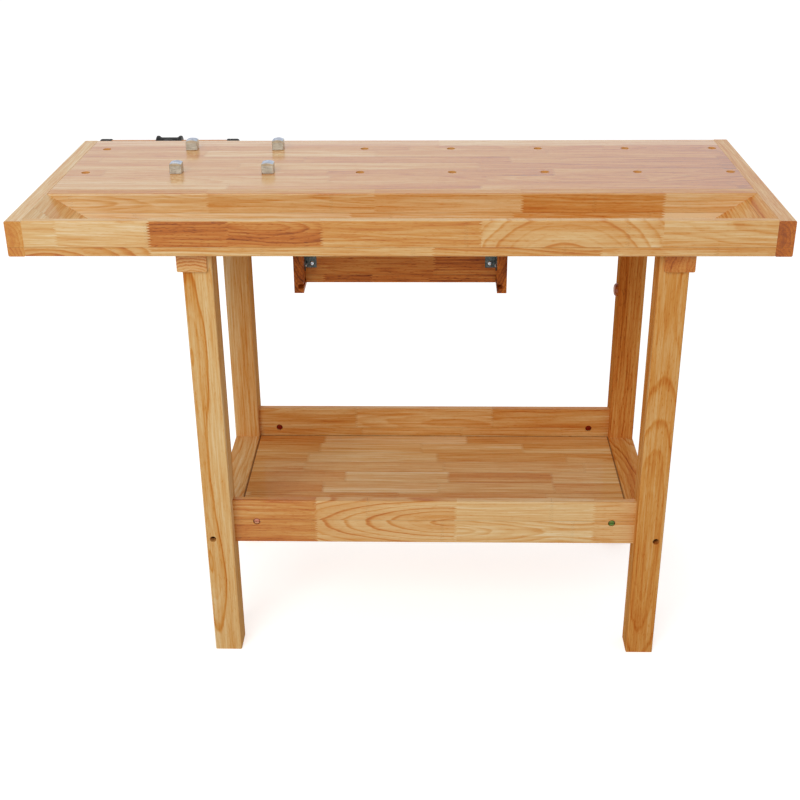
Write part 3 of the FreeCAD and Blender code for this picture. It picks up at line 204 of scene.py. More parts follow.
def make_rubberwood():
    """One block of rubberwood. Place runs along the grain, across, through."""
    tree, given = new_group(
        "rubberwood",
        {"Vector": ("Place",), "Float": (
            "Tone", "Figure", "Block", "Seam", "End", "Rings", "Reach")},
        {"Color": ("Colour",), "Float": ("Roughness", "Height")})
    place, figure, end = given["Place"], given["Figure"], given["End"]
    chance = lots(tree, given["Block"], "1D")["Color"]
    luck = step(tree, "SeparateColor", {"Color": chance}).outputs
    # Each block is cut from its own part of the tree.
    moved = vector(tree, "ADD", place, stretch(
        tree, chance, (3.0, 5.0, 7.0)))[0]

    def marks(along_grain, across_grain, detail=2.0):
        """Noise drawn out along the grain, by its marks to a metre."""
        return cloud(tree, moved, (along_grain, across_grain, across_grain),
                     detail)

    along, across, through = split(tree, place)
    # The pith runs behind a figured block, and far to one side of a plain one.
    bend = calc(tree, "SINE", times_add(
        tree, along, BEND, times(tree, luck[2], math.tau)))
    depth, swing, spread = [
        times_add(tree, amount, added, base)
        for amount, (base, added) in ((luck[1], PITH_DEPTH), (
            figure, PITH_SWING), (figure, PITH_ASIDE))]
    behind = add(tree, add(tree, through, depth), times(tree, bend, swing))
    sway = calc(tree, "SINE", times_add(tree, along, SWAY, luck[1]))
    offset = times(tree, less(tree, luck[0], 0.5), spread)
    aside = add(tree, add(tree, across, offset),
                times(tree, sway, SWAY_WIDTH))
    distance = calc(tree, "SQRT", add(
        tree, times(tree, behind, behind), times(tree, aside, aside)))
    # Round a knot the rings follow their reach from it instead.
    distance = choose(tree, calc(tree, "GREATER_THAN", given["Reach"], 0.0),
                      given["Reach"], distance)
    distance = times_add(tree, marks(6.0, 34.0, 3.0), WAVE_WIDTH, distance)
    # Each growth ring ends in a thin dark line that fades inwards.
    rings = times(tree, distance, given["Rings"])
    share = calc(tree, "FRACT", rings)
    early = remap(tree, given["Rings"], WIDE_RINGS, CLOSE_RINGS, 0.64, 0.25)
    late = remap(tree, share, early, RING_EDGE, 0.0, 0.75, smooth=True)
    late = add(tree, late, remap(tree, share, 0.1, RING_EDGE, 0.0, 0.25))
    late = less(tree, late, remap(tree, share, RING_EDGE, 1.0, smooth=True))
    strength = lots(tree, add(
        tree, calc(tree, "FLOOR", rings), given["Block"]), "1D")["Value"]
    late = times(tree, late, remap(tree, strength, 0, 1, 0.1, 1.0))
    late = less(tree, late, 0.2)
    lines = times(tree, late, times_add(tree, figure, 0.30, 0.07))
    zones = step(tree, "TexNoise", {
        "W": times(tree, distance, TONE_ZONES), "Scale": 1.0,
        "Detail": 1.0}, noise_dimensions="1D").outputs["Fac"]
    # Streaks, fibres and the short dark pores, all drawn out along the grain.
    broad = marks(1.9, 24.0)
    streaks = marks(4.5, 170.0, 3.0)
    hairs = marks(11.0, 430.0)
    fibre = marks(30.0, 900.0)
    pores = remap(tree, marks(95.0, 760.0, 1.0), 0.58, 0.72, smooth=True)
    # A figured block is smooth between its rings, and end grain shows the
    # rings and the pores, but hardly any marks along the grain.
    tone = given["Tone"]
    for part in (lines,
                 remap(tree, zones, 0.25, 0.75, -0.09, 0.09),
                 remap(tree, broad, 0.25, 0.75, -0.10, 0.10)):
        tone = add(tree, tone, part)
    faint = times(tree, times_add(tree, end, -0.5, 1.0),
                  remap(tree, figure, 0.4, 0.9, 1.0, 0.55))
    for part in (remap(tree, streaks, 0.25, 0.75, -0.11, 0.12),
                 remap(tree, hairs, 0.42, 0.78, -0.04, 0.17),
                 remap(tree, fibre, 0.2, 0.8, -0.08, 0.08)):
        tone = times_add(tree, part, faint, tone)
    tone = times_add(tree, pores, times_add(
        tree, given["Tone"], 0.26, 0.02), tone)
    tone = times_add(tree, end, 0.12, tone)
    colour = ramp(tree, tone, RUBBERWOOD_TONES)
    colour = blend_colours(tree, times(tree, luck[1], 0.12), colour,
                           ROSE_TINT, "MULTIPLY")
    colour = blend_colours(tree, times(tree, given["Seam"], 0.50), colour,
                           SEAM_AND_GAP_SHADE_TINT)
    height = less(tree, times_add(tree, fibre, 0.35, late), pores)
    height = less(tree, height, times(tree, given["Seam"], 1.5))
    give(tree, {"Colour": colour, "Height": height,
                "Roughness": remap(tree, fibre, 0.2, 0.8, 0.32, 0.48)})
    return tree


# The blocks meet in glued fingers, which show on the wide faces.
FINGER_WIDTH, FINGER_LENGTH = 0.0022, 0.007
SEAM_CORE, SEAM_EDGE = 0.0001, 0.0004
BLOCK_LEAST, BLOCK_SPREAD = 0.75, 0.5     # shares of the usual block length
PALE_SHARE = 1.7     # the higher, the fewer dark blocks
# Every number cuts its block from another part of the tree.
STAVE_NUMBERS, STRIP_NUMBERS = 97.0, 53.0


def finger(tree, along, across):
    """The place along the grain, in and out with the fingers."""
    return times_add(tree, calc(tree, "PINGPONG", across, FINGER_WIDTH),
                     FINGER_LENGTH / FINGER_WIDTH, along)


def make_staves():
    """Rows of blocks glued side by side, each row cut at its own places."""
    tree, given = new_group(
        "glued_staves",
        {"Vector": ("Place",), "Float": (
            "Row width", "Row start", "Middle", "Block length", "Seed",
            "Palest", "Darkest")},
        {"Vector": ("Place",), "Float": ("Tone", "Figure", "Block", "Seam")})
    along, across, through = split(tree, given["Place"])
    rows = calc(tree, "DIVIDE", less(tree, across, given["Row start"]),
                given["Row width"])
    row = calc(tree, "FLOOR", rows)
    in_row = calc(tree, "FRACT", rows)
    chance = lots(tree, joined(tree, row, given["Seed"]))["Value"]
    cut = times(tree, given["Block length"],
                times_add(tree, chance, BLOCK_SPREAD, BLOCK_LEAST))
    blocks = times_add(tree, chance, 7.0, calc(
        tree, "DIVIDE", finger(tree, along, across), cut))
    block = calc(tree, "FLOOR", blocks)
    in_block = calc(tree, "FRACT", blocks)
    draw = lots(tree, joined(tree, row, block, given["Seed"]))
    # Most blocks are pale and a few are dark.
    rank = calc(tree, "POWER", draw["Value"], PALE_SHARE)
    tone = times_add(tree, rank, less(
        tree, given["Darkest"], given["Palest"]), given["Palest"])
    figure = step(tree, "SeparateColor", {"Color": draw["Color"]}).outputs[1]

    def edge(share, size):
        near = calc(tree, "MINIMUM", share, less(tree, 1.0, share))
        return remap(tree, times(tree, near, size), SEAM_CORE, SEAM_EDGE,
                     1.0, 0.0)

    seam = calc(tree, "MAXIMUM", edge(in_row, given["Row width"]),
                edge(in_block, cut))
    own = joined(
        tree, along,
        times(tree, less(tree, in_row, 0.5), given["Row width"]),
        less(tree, through, given["Middle"]))
    give(tree, {"Place": own, "Tone": tone, "Figure": figure, "Seam": seam,
                "Block": times(tree, draw["Value"], STAVE_NUMBERS)})
    return tree


rubberwood = make_rubberwood()
staves = make_staves()


def new_material(name, **finish):
    made = bpy.data.materials.new(name)
    made.use_nodes = True
    shader = made.node_tree.nodes["Principled BSDF"]
    for label, value in finish.items():
        shader.inputs[label.replace("_", " ")].default_value = value
    return made, made.node_tree, shader


RELIEF = 0.0002      # the depth of scratches and pores, in metres


def surface(tree, shader, colour, roughness, height=None, strength=0.0):
    """Wires a finish to its shader, its height as fine relief."""
    wires = {"Base Color": colour, "Roughness": roughness}
    if height is not None:
        wires["Normal"] = step(tree, "Bump", {
            "Height": height, "Strength": strength,
            "Distance": RELIEF}).outputs["Normal"]
    for label, value in wires.items():
        wire(tree, shader.inputs[label], value)


def place_strip(tree, along, joints):
    """Tone, figure and number of each block of a strip whose joints are
    given: the strip's start, then (where a block ends, tone, figure)."""
    first, last = joints[0], joints[-1][0]
    begin, stops = first, []
    for end, block_tone, block_figure in joints[1:]:
        share = (begin - first) / (last - first)
        stops.append((share, (block_tone, block_figure, share, 1.0)))
        begin = end
    placed = step(tree, "SeparateColor", {"Color": ramp(
        tree, remap(tree, along, first, last), stops, "CONSTANT")}).outputs
    return placed[0], placed[1], times(tree, placed[2], STRIP_NUMBERS)


def knot_reach(tree, along, across, knot):
    """How far off a knot is, zero outside its stretch, and where that is."""
    centre, closeness, (start, end), foot = knot
    reach = joined(tree, *(
        times(tree, less(tree, here, origin), close)
        for here, origin, close in zip((along, across), centre, closeness)))
    reach = vector(tree, "LENGTH", reach)["Value"]
    inside = times(tree, calc(tree, "GREATER_THAN", along, start),
                   calc(tree, "LESS_THAN", along, end))
    inside = times(tree, inside, calc(tree, "GREATER_THAN", across, foot))
    return times(tree, inside, reach), inside


# A face counts as level, or as end grain, by how far it turns that way.
FACE_TURN = (0.6, 0.8)
# How dark the painted gap shadow at a board's edges is, and how deep the
# grain's relief.
GAP_SHADE_DARKNESS, GRAIN_RELIEF = 1.4, 0.35
LACQUER = {"Coat_Roughness": 0.12, "Coat_IOR": 1.6, "IOR": 1.5}


def wood(name, order, middle, staves_cut, tones, seed, strips=(),
         figure=None, gloss=0.3, sheen=0.3, crown=None, walls=None,
         ends=None, drift=None, knot=None, rings=CLOSE_RINGS, cut=None,
         rim=None):
    """A lacquered board. Order says which axis runs along the grain, which
    across the staves and which through the board, to its middle. Staves_cut
    has the staves' width, where one starts and the length of their blocks,
    and tones the palest and the darkest. Strips places the joints of the
    staves above that start, and then of those below it. Crown is a paler tone
    painted on the faces that look up, a painted sheen for the lacquer's
    reflection there, and their joints are not drawn; walls is the colour of
    all the others, ends a stain on the end grain, drift the change of tone
    per metre before and after the middle, and rings how many there are to a
    metre. Knot is a place (along, across), how close its rings lie (along,
    across), the start and end of the stretch that they fill, and the height
    across at which it begins. Cut picks the part of the tree that a whole
    board comes from, and rim the limits along and across, beyond which the
    board's edges are darkened with a painted shadow for the gaps beside it."""
    row_width, row_start, block_length = staves_cut
    palest, darkest = tones
    made, tree, shader = new_material(
        name, Coat_Weight=gloss, Specular_IOR_Level=sheen, **LACQUER)
    coordinates = step(tree, "TexCoord").outputs
    parts = split(tree, coordinates["Object"])
    along, across, through = [parts["XYZ".index(axis)] for axis in order]
    reach = 0.0
    if knot:
        reach, inside = knot_reach(tree, along, across, knot)
        rings = choose(tree, inside, OPEN_RINGS, rings)
    facing = split(tree, coordinates["Normal"])
    end = calc(tree, "ABSOLUTE", facing["XYZ".index(order[0])])
    end = remap(tree, end, *FACE_TURN)
    up = remap(tree, facing[2], *FACE_TURN)
    rows = group(tree, staves, {
        "Place": joined(tree, along, across, through),
        "Row width": row_width, "Row start": row_start, "Middle": middle,
        "Block length": block_length, "Seed": seed, "Palest": palest,
        "Darkest": darkest})
    look = [rows[label] for label in ("Tone", "Figure", "Block")]
    for side, joints in zip(("GREATER_THAN", "LESS_THAN"), strips):
        here = calc(tree, side, across, row_start)
        placed = place_strip(tree, finger(tree, along, across), joints)
        look = [choose(tree, here, own, other)
                for own, other in zip(placed, look)]
    tone, pattern, number = look
    if figure is not None:
        pattern = figure
    if cut is not None:
        number = cut
    if drift:
        for side, slope in zip(("MINIMUM", "MAXIMUM"), drift):
            tone = times_add(tree, calc(tree, side, along, 0.0), slope, tone)
    seam = rows["Seam"]
    # Painted shadow: beyond the given limits the seam colour darkens the
    # board's edges, as the shade in the gaps beside it.
    if rim:
        for here, limits in zip((along, across), rim):
            for side, limit in zip(("LESS_THAN", "GREATER_THAN"), limits):
                in_gap_shade = calc(tree, side, here, limit)
                seam = calc(tree, "MAXIMUM", seam,
                            times(tree, in_gap_shade, GAP_SHADE_DARKNESS))
    # Painted sheen: the faces that look up take the paler crown tone, standing
    # in for the lacquer's reflection there, and show no joints.
    if crown is not None:
        tone = choose(tree, up, crown, tone)
        seam = choose(tree, up, 0.0, seam)
    block = group(tree, rubberwood, {
        "Place": rows["Place"], "Tone": tone, "Figure": pattern,
        "Block": number, "Seam": seam, "End": end, "Rings": rings,
        "Reach": reach})
    colour = block["Colour"]
    if walls is not None:
        colour = blend_colours(tree, up, walls, colour)
    if ends is not None:
        colour = blend_colours(tree, end, colour, ends, "MULTIPLY")
    surface(tree, shader, colour, block["Roughness"], block["Height"],
            GRAIN_RELIEF)
    return made


def finish_node(material, *names):
    for name in names:
        nodes[name].material_slots[0].material = material


def board(name, *sizes, like=(), **look):
    """Finishes a board of the bench, and any other that is like it."""
    finish_node(wood(*sizes, **look), name, *like)


board("work_surface", "surface_lacquered", "XYZ", 0.852,
      (0.0445, -0.1505, 0.36), (0.34, 0.60), 4.0, figure=0.3, gloss=0.75,
      sheen=0.15, walls=tint(234, 176, 102), drift=(0.10, 0.42))


# ----------------
# Edge rails: deep rubberwood boards along both sides of the panel, grooved
# for its tongues. The vise-side rail carries the vise in its bores, and the
# tray-side rail is rebated underneath for the tray floor.

board("front_edge_rail", "front_rail_lacquered", "XZY", 0.174,
      (0.054, 0.81, 0.44), (0.34, 0.60), 11.0, gloss=0.9, sheen=0.25,
      crown=0.36)
board("tray_side_rail", "tray_rail_lacquered", "XZY", -0.158,
      (0.034, 0.83, 0.40), (0.36, 0.72), 5.0, strips=(
          (-0.607, (-0.330, 0.14, 0.45), (-0.042, 0.25, 0.30),
           (0.209, 0.30, 0.10), (0.453, 0.41, 0.30), (0.607, 0.26, 0.35)),
          (-0.607, (-0.083, 0.03, 0.40), (0.197, 0.22, 0.10),
           (0.453, 0.36, 0.30), (0.607, 0.02, 0.20))),
      gloss=0.45, sheen=0.12, crown=0.44)


# ----------------
# End caps: one rubberwood board in two strips across each end of the top.
# They close the panel, the rails and the tray, and hide the rails' dowels.

board("end_cap_left", "left_cap_lacquered", "YZX", -0.621, (0.044, 0.82, 0.9),
      (0.38, 0.50), 7.0, strips=(
          (-0.33, (0.30, 0.30, 0.10)),
          (-0.33, (0.30, 0.36, 0.60))),
      gloss=0.4, sheen=0.15, crown=0.24, ends=tint(252, 238, 192))
board("end_cap_right", "right_cap_lacquered", "YZX", 0.621, (0.044, 0.82, 0.9),
      (0.50, 0.62), 9.0, strips=(
          (-0.33, (0.30, 0.58, 0.10)),
          (-0.33, (0.30, 0.56, 0.20))),
      gloss=0.4, sheen=0.15, crown=0.38, ends=tint(252, 236, 124))


# ----------------
# Tool tray: a long two-strip apron outside, a thin floor let into grooves,
# and a solid ramp at each end so that small tools can be swept out.

board("tray_apron", "apron_lacquered", "XZY", -0.3165, (0.044, 0.82, 0.30),
      (0.30, 0.44), 3.0, strips=(
          (-0.607, (-0.553, 0.20, 0.05), (-0.401, 0.25, 0.30),
           (-0.275, 0.63, 0.25), (-0.119, 0.57, 0.70), (0.135, 0.44, 0.15),
           (0.426, 0.32, 0.80), (0.607, 0.28, 0.25)),
          (-0.607, (-0.40, 0.36, 0.80), (0.06, 0.28, 0.30),
           (0.330, 0.38, 0.60), (0.607, 0.42, 0.35))),
      gloss=0.20, sheen=0.17, crown=0.25,
      knot=((0.274, 0.752), (0.60, 0.64), (0.135, 0.426), 0.82))
board("tray_floor", "tray_floor_lacquered", "XYZ", 0.813,
      (0.05, -0.3145, 0.35), (0.30, 0.50), 15.0)
board("tray_ramp_left", "left_ramp_lacquered", "YXZ", 0.84, (0.09, -0.65, 0.6),
      (0.26, 0.30), 17.0, figure=0.1)
board("tray_ramp_right", "right_ramp_lacquered", "YXZ", 0.84,
      (0.09, 0.50, 0.6), (0.34, 0.37), 19.0, figure=0.6, gloss=0.05, sheen=0.2)


# ----------------
# Leg frame: four square legs notched for the bearers, flat side rails near
# the floor and two deep long rails, all of solid rubberwood and bolted up.

WHOLE_WIDTH, WHOLE_LENGTH = 0.08, 2.0


def whole(start):
    """The staves of a board in one piece, which is narrower and shorter."""
    return WHOLE_WIDTH, start, WHOLE_LENGTH


def leg(name, finish, middle, start, tones, seed, figure, **look):
    board(name, finish, "ZXY", middle, whole(start), tones, seed,
          figure=figure, gloss=0.0, sheen=0.0, **look)


leg("leg_tray_side_left", "near_left_leg", -0.2745, -0.3675, (0.29, 0.33), 2.0,
    0.62, rings=OPEN_RINGS)
leg("leg_tray_side_right", "near_right_leg", -0.2745, 0.4185, (0.46, 0.50),
    6.0, 0.60, cut=2060.0, rings=OPEN_RINGS)
leg("leg_vise_side_left", "far_left_leg", 0.1135, -0.3675, (0.28, 0.34), 8.0,
    0.1)
leg("leg_vise_side_right", "far_right_leg", 0.1135, 0.4185, (0.52, 0.58), 10.0,
    0.1)
board("bearer_left", "left_bearer", "YXZ", 0.79, whole(-0.3755), (0.27, 0.31),
      12.0, gloss=0.25, sheen=0.25)
board("bearer_right", "right_bearer", "YXZ", 0.79, whole(0.4265), (0.46, 0.52),
      14.0, gloss=0.1, sheen=0.2)
board("side_rail_left", "left_side_rail", "YXZ", 0.248, whole(-0.3675),
      (0.31, 0.36), 16.0, figure=0.45, gloss=0.0, sheen=0.05)
board("side_rail_right", "right_side_rail", "YXZ", 0.248, whole(0.4185),
      (0.38, 0.44), 18.0, figure=0.7, gloss=0.0, sheen=0.05)

RAIL_BLOCKS = ((0.103, 0.34, 0.95), (0.354, 0.23, 0.60), (0.4285, 0.37, 0.20))
board("long_rail_tray_side", "near_long_rail", "XZY", -0.2705,
      (0.1, 0.278, 0.30), (0.40, 0.60), 20.0, strips=(
          (-0.3075, (-0.155, 0.45, 0.30), *RAIL_BLOCKS),
          (-0.3075, (-0.155, 0.50, 0.15), *RAIL_BLOCKS)),
      gloss=0.15, sheen=0.25,
      knot=((0.105, 0.274), (0.28, 1.5), (-0.155, 0.103), 0.2))
board("long_rail_vise_side", "far_long_rail", "XZY", 0.1095,
      (0.045, 0.23, 0.27), (0.33, 0.48), 22.0, figure=0.3, gloss=0.1,
      sheen=0.2)


# ----------------
# Shelf: a thin panel of narrow staves that drops in between the rails and
# lies on a cleat under each long edge.

# The shelf's edges are painted dark, a painted shadow in the gaps between the
# shelf and the rails, this wide.
GAP_SHADE_WIDTH = 0.0022
shelf_low, shelf_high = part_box("shelf_panel")
shelf_rim = [(low + GAP_SHADE_WIDTH, high - GAP_SHADE_WIDTH)
             for low, high in zip(shelf_low[:2], shelf_high[:2])]
board("shelf_panel", "shelf_lacquered", "XYZ", 0.2495, (0.041, -0.262, 0.26),
      (0.20, 0.46), 24.0, figure=0.15, gloss=0.1, sheen=0.12, rim=shelf_rim)
board("shelf_cleat_tray_side", "cleat_wood", "XYZ", 0.2375, (0.05, -0.3, 0.7),
      (0.45, 0.55), 26.0, gloss=0.1, like=("shelf_cleat_vise_side",))


# ----------------
# Drawer housing: two grooved runners hang from the rails, and a board across
# them at the tray side stops the drawer and keeps the runners apart.

board("drawer_runner_left", "runner_lacquered", "YZX", 0.0, (0.2, 0.65, 1.2),
      (0.65, 0.71), 28.0, gloss=0.0, sheen=0.1, like=("drawer_runner_right",))
board("drawer_stop_board", "stop_board_lacquered", "XZY", -0.1185,
      (0.045, 0.701, 0.12), (0.52, 0.70), 30.0, strips=(
          (-0.171, (0.064, 0.53, 0.20), (0.171, 0.65, 0.15)),
          (-0.171, (-0.135, 0.57, 0.20), (-0.050, 0.75, 0.30),
           (0.055, 0.61, 0.20), (0.171, 0.69, 0.25))),
      gloss=0.05, sheen=0.1)


# ----------------
# Drawer: a plain box whose bottom board slides in the runners' grooves, with
# a lacquered front and a turned knob.

board("drawer_side_left", "drawer_side_wood", "YZX", 0.0, (0.06, 0.69, 0.5),
      (0.30, 0.50), 32.0, gloss=0.2, like=("drawer_side_right",))
board("drawer_back", "drawer_cross_wood", "XZY", 0.0, (0.06, 0.69, 0.5),
      (0.30, 0.50), 34.0, gloss=0.2)
board("drawer_bottom", "drawer_bottom_wood", "XYZ", 0.694, (0.06, -0.12, 0.4),
      (0.30, 0.50), 36.0, gloss=0.2)
board("drawer_front", "drawer_front_wood", "XZY", 0.1885, (0.063, 0.682, 0.3),
      (0.32, 0.50), 38.0, gloss=0.5)

MILLIMETRE = 0.001
SHARP_EDGE = math.radians(32)


def stand(name, data):
    made = bpy.data.objects.new(name, data)
    bpy.context.scene.collection.objects.link(made)
    return made


def built(name, shape):
    """An object from a shape, which is used up, its faces turned outwards."""
    mesh = bpy.data.meshes.new(name)
    bmesh.ops.recalc_face_normals(shape, faces=shape.faces)
    shape.to_mesh(mesh)
    shape.free()
    return stand(name, mesh)


def bridge(shape, low, high):
    """Faces between two rings of corners, one of which can be a point."""
    for first in range(max(len(low), len(high))):
        second = first + 1
        face = (low[first % len(low)], low[second % len(low)],
                high[second % len(high)], high[first % len(high)])
        shape.faces.new(tuple(dict.fromkeys(face)))


def together(name, *parts):
    """One object from several, which are used up."""
    shape = bmesh.new()
    for part in parts:
        shape.from_mesh(part.data)
        bpy.data.objects.remove(part)
    return built(name, shape)


def turned(name, profile, segments=24):
    """A solid turned round Z from (radius, height) in millimetres."""
    shape = bmesh.new()
    rings = []
    for radius, height in profile:
        corners = []
        for number in range(segments if radius else 1):
            angle = math.tau * number / segments
            corners.append(shape.verts.new(Vector((
                radius * math.cos(angle), radius * math.sin(angle),
                height)) * MILLIMETRE))
        rings.append(corners)
    for low, high in zip(rings, rings[1:]):
        bridge(shape, low, high)
    return built(name, shape)


def lay(piece, direction, foot):
    """Turns a piece made along Z to a direction, its foot in millimetres."""
    turn = Vector((0, 0, 1)).rotation_difference(Vector(direction))
    piece.data.transform(
        Matrix.Translation(Vector(foot) * MILLIMETRE)
        @ turn.to_matrix().to_4x4())
    return piece


def fit(piece, finish, body, slot, *sources):
    """Gives a finished piece its finish and its place on the bench."""
    mesh = piece.data
    mesh.materials.clear()
    mesh.materials.append(finish)
    mesh.polygons.foreach_set("use_smooth", [True] * len(mesh.polygons))
    mesh.set_sharp_from_angle(angle=SHARP_EDGE)
    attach(piece, body)
    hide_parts(*sources)


KNOB_PROFILE = (
    (0, 0), (3.6, 0), (4, 0.4), (4, 12), (9.6, 12), (10.2, 12.5), (10.2, 13.4),
    (9.2, 14.4), (8.2, 16.2), (7.9, 18.4), (8.6, 20.8), (10.6, 23.2),
    (13.4, 25.6), (15.8, 28.2), (16.9, 30.8), (17, 32.4), (16.4, 34.4),
    (14.6, 36.2), (11.2, 37.4), (6.5, 37.9), (0, 38))
fit(lay(turned("turned_knob", KNOB_PROFILE, 48), (0, 1, 0), (0, 184.5, 745)),
    wood("knob_wood", "YXZ", 0.745, (0.06, -0.03, 0.5), (0.60, 0.68), 40.0,
         gloss=0.6),
    "drawer", "drawer_wood", "drawer_knob")


# ----------------
# Dowels and button: beech turnings. The dowels are glued into the joints,
# and the button is glued on the inner face of one leg.

board("end_cap_dowels", "dowel_beech", "XYZ", 0.837, (0.02, -0.35, 0.3),
      (0.35, 0.45), 42.0, gloss=0.0)
board("leg_dowels", "leg_dowel_beech", "ZXY", 0.0, (0.02, -0.35, 0.3),
      (0.35, 0.45), 44.0, gloss=0.0)

BUTTON_PROFILE = (
    (0, 0), (13, 0), (13, 2.6), (12.6, 4.2), (11.4, 5.8), (9.6, 7), (6, 7.8),
    (0, 8))
fit(lay(turned("turned_button", BUTTON_PROFILE, 40),
        (-1, 0, 0), (428.5, 113.5, 581)),
    wood("button_wood", "ZYX", 0.4245, (0.05, 0.09, 0.3), (0.60, 0.70), 46.0),
    "bench", "dowel_wood", "leg_button")


# ----------------
# Steel fixings: zinc-plated screws, black bolts in yellow passivated barrel
# nuts, and pressed angles. They hold the frame, the housing and the vise.

def vary(tree, noise, low, high):
    """A value between two limits, as the noise has it."""
    return remap(tree, noise, 0.3, 0.7, low, high)


def metal(name, colour, spread, grain, rough, relief, **finish):
    """A metal or painted finish, mottled by colour, roughness and height."""
    made, tree, shader = new_material(name, **finish)
    place = step(tree, "TexCoord").outputs["Object"]
    mottle = cloud(tree, place, grain, 3.0)
    shade = vary(tree, mottle, 1.0 - spread, 1.0 + spread)
    tinted = vector(tree, "SCALE", colour[:3], Scale=shade)[0]
    surface(tree, shader, tinted, vary(tree, mottle, *rough), mottle, relief)
    return made


def plain(blank):
    """What a blank's modifiers make of it, as an object without them."""
    reading = bpy.context.evaluated_depsgraph_get()
    mesh = bpy.data.meshes.new_from_object(blank.evaluated_get(reading))
    name = blank.name
    bpy.data.objects.remove(blank)
    return stand(name, mesh)


def carved(blank, *cuts):
    """The blank after its (operation, cutter) pairs, which are used up."""
    for operation, cutter in cuts:
        work = blank.modifiers.new("carve", "BOOLEAN")
        work.operation = operation
        work.solver = "EXACT"
        work.object = cutter
    done = plain(blank)
    for operation, cutter in cuts:
        bpy.data.objects.remove(cutter)
    return done


def prism(name, outline, low, high, taper=1.0):
    """A straight-sided form, its low end drawn in by taper, millimetres."""
    shape = bmesh.new()
    foot, top = [
        [shape.verts.new(Vector((x * share, y * share, height)) * MILLIMETRE)
         for x, y in outline]
        for height, share in ((low, taper), (high, 1.0))]
    shape.faces.new(foot)
    shape.faces.new(top)
    bridge(shape, foot, top)
    return built(name, shape)


def shape_tree(name, **takes):
    """A tree that takes a form, as well as its own sizes, and gives one."""
    return new_group(name, {"Geometry": ("Geometry",), **takes},
                     {"Geometry": ("Geometry",)}, "GeometryNodeTree")


def shaped(tree, kind, inputs=(), **settings):
    return add_node(tree, "GeometryNode" + kind, inputs, **settings).outputs


def aim(tree, kind, inputs, **settings):
    return add_node(tree, "FunctionNode" + kind, inputs, **settings).outputs


def finish_form(tree, geometry, finish):
    real = shaped(tree, "RealizeInstances", {0: geometry})[0]
    give(tree, {"Geometry": shaped(tree, "SetMaterial", {
        "Geometry": real, "Material": finish})[0]})
    return tree


# Where a thread's flank starts and ends, as shares of the pitch from its root.
FLANK_START, FLANK_END = 0.12, 0.36


def make_thread_tree():
    """Cuts a thread: each point sinks by its turn round Z and its height."""
    tree, given = shape_tree(
        "cut_thread", Float=("Pitch", "Depth", "Start", "End"),
        Material=("Finish",))
    start, end, pitch = given["Start"], given["End"], given["Pitch"]
    x, y, z = split(tree, shaped(tree, "InputPosition")[0])
    angle = calc(tree, "DIVIDE", calc(tree, "ARCTAN2", y, x), math.tau)
    turns = calc(tree, "DIVIDE", z, pitch)
    share = calc(tree, "FRACT", less(tree, turns, angle))
    from_root = calc(tree, "ABSOLUTE", less(tree, share, 0.5))
    groove = remap(tree, from_root, FLANK_START, FLANK_END, 1.0, 0.0)
    runs_in = remap(tree, z, start, add(tree, start, pitch))
    runs_out = remap(tree, z, less(tree, end, pitch), end, 1.0, 0.0)
    sunk = times(tree, groove, times(tree, runs_in, runs_out))
    sunk = times(tree, sunk, times(tree, given["Depth"], -1.0))
    outward = vector(tree, "NORMALIZE", joined(tree, x, y))[0]
    offset = vector(tree, "SCALE", outward, Scale=sunk)[0]
    moved = shaped(tree, "SetPosition", {
        "Geometry": given["Geometry"], "Offset": offset})[0]
    return finish_form(tree, moved, given["Finish"])


def make_fixing_tree():
    """Sets one fixing at each point, its head the way that the point faces."""
    tree, given = shape_tree(
        "set_fixings", Object=("Fixing",), Float=("Turn",), Int=("Seed",),
        Material=("Finish",))
    facing = shaped(tree, "InputNamedAttribute", {"Name": "facing"},
                    data_type="FLOAT_VECTOR")["Attribute"]
    aimed = aim(tree, "AlignRotationToVector", {"Vector": facing},
                axis="Z")[0]
    # Float amounts have the third and fourth sockets, the seed the ninth.
    chance = aim(tree, "RandomValue", {3: given["Turn"], 8: given["Seed"]},
                 data_type="FLOAT")[1]
    spin = aim(tree, "EulerToRotation", {
        0: joined(tree, 0.0, 0.0, chance)})[0]
    heading = aim(tree, "RotateRotation", {0: aimed, 1: spin},
                  rotation_space="LOCAL")[0]
    model = shaped(tree, "ObjectInfo", {
        "Object": given["Fixing"]})["Geometry"]
    placed = shaped(tree, "InstanceOnPoints", {
        "Points": given["Geometry"], "Instance": model,
        "Rotation": heading})[0]
    return finish_form(tree, placed, given["Finish"])


thread_tree = make_thread_tree()
fixing_tree = make_fixing_tree()


def grown(blank, tree, **amounts):
    work = blank.modifiers.new("shape", "NODES")
    work.node_group = tree
    for socket in tree.interface.items_tree:
        if socket.in_out == "INPUT" and socket.name in amounts:
            work[socket.identifier] = amounts[socket.name]
    return plain(blank)


RINGS_PER_TURN = 6


def shank(radius, start, end, pitch):
    """The rings of a rod that a thread is cut into."""
    count = round((end - start) / pitch * RINGS_PER_TURN)
    return [(radius, start + (end - start) * number / count)
            for number in range(count + 1)]


def threaded(name, profile, pitch, depth, start, end, finish, segments=20):
    return grown(
        turned(name, profile, segments), thread_tree,
        Pitch=pitch * MILLIMETRE, Depth=depth * MILLIMETRE,
        Start=start * MILLIMETRE, End=end * MILLIMETRE, Finish=finish)


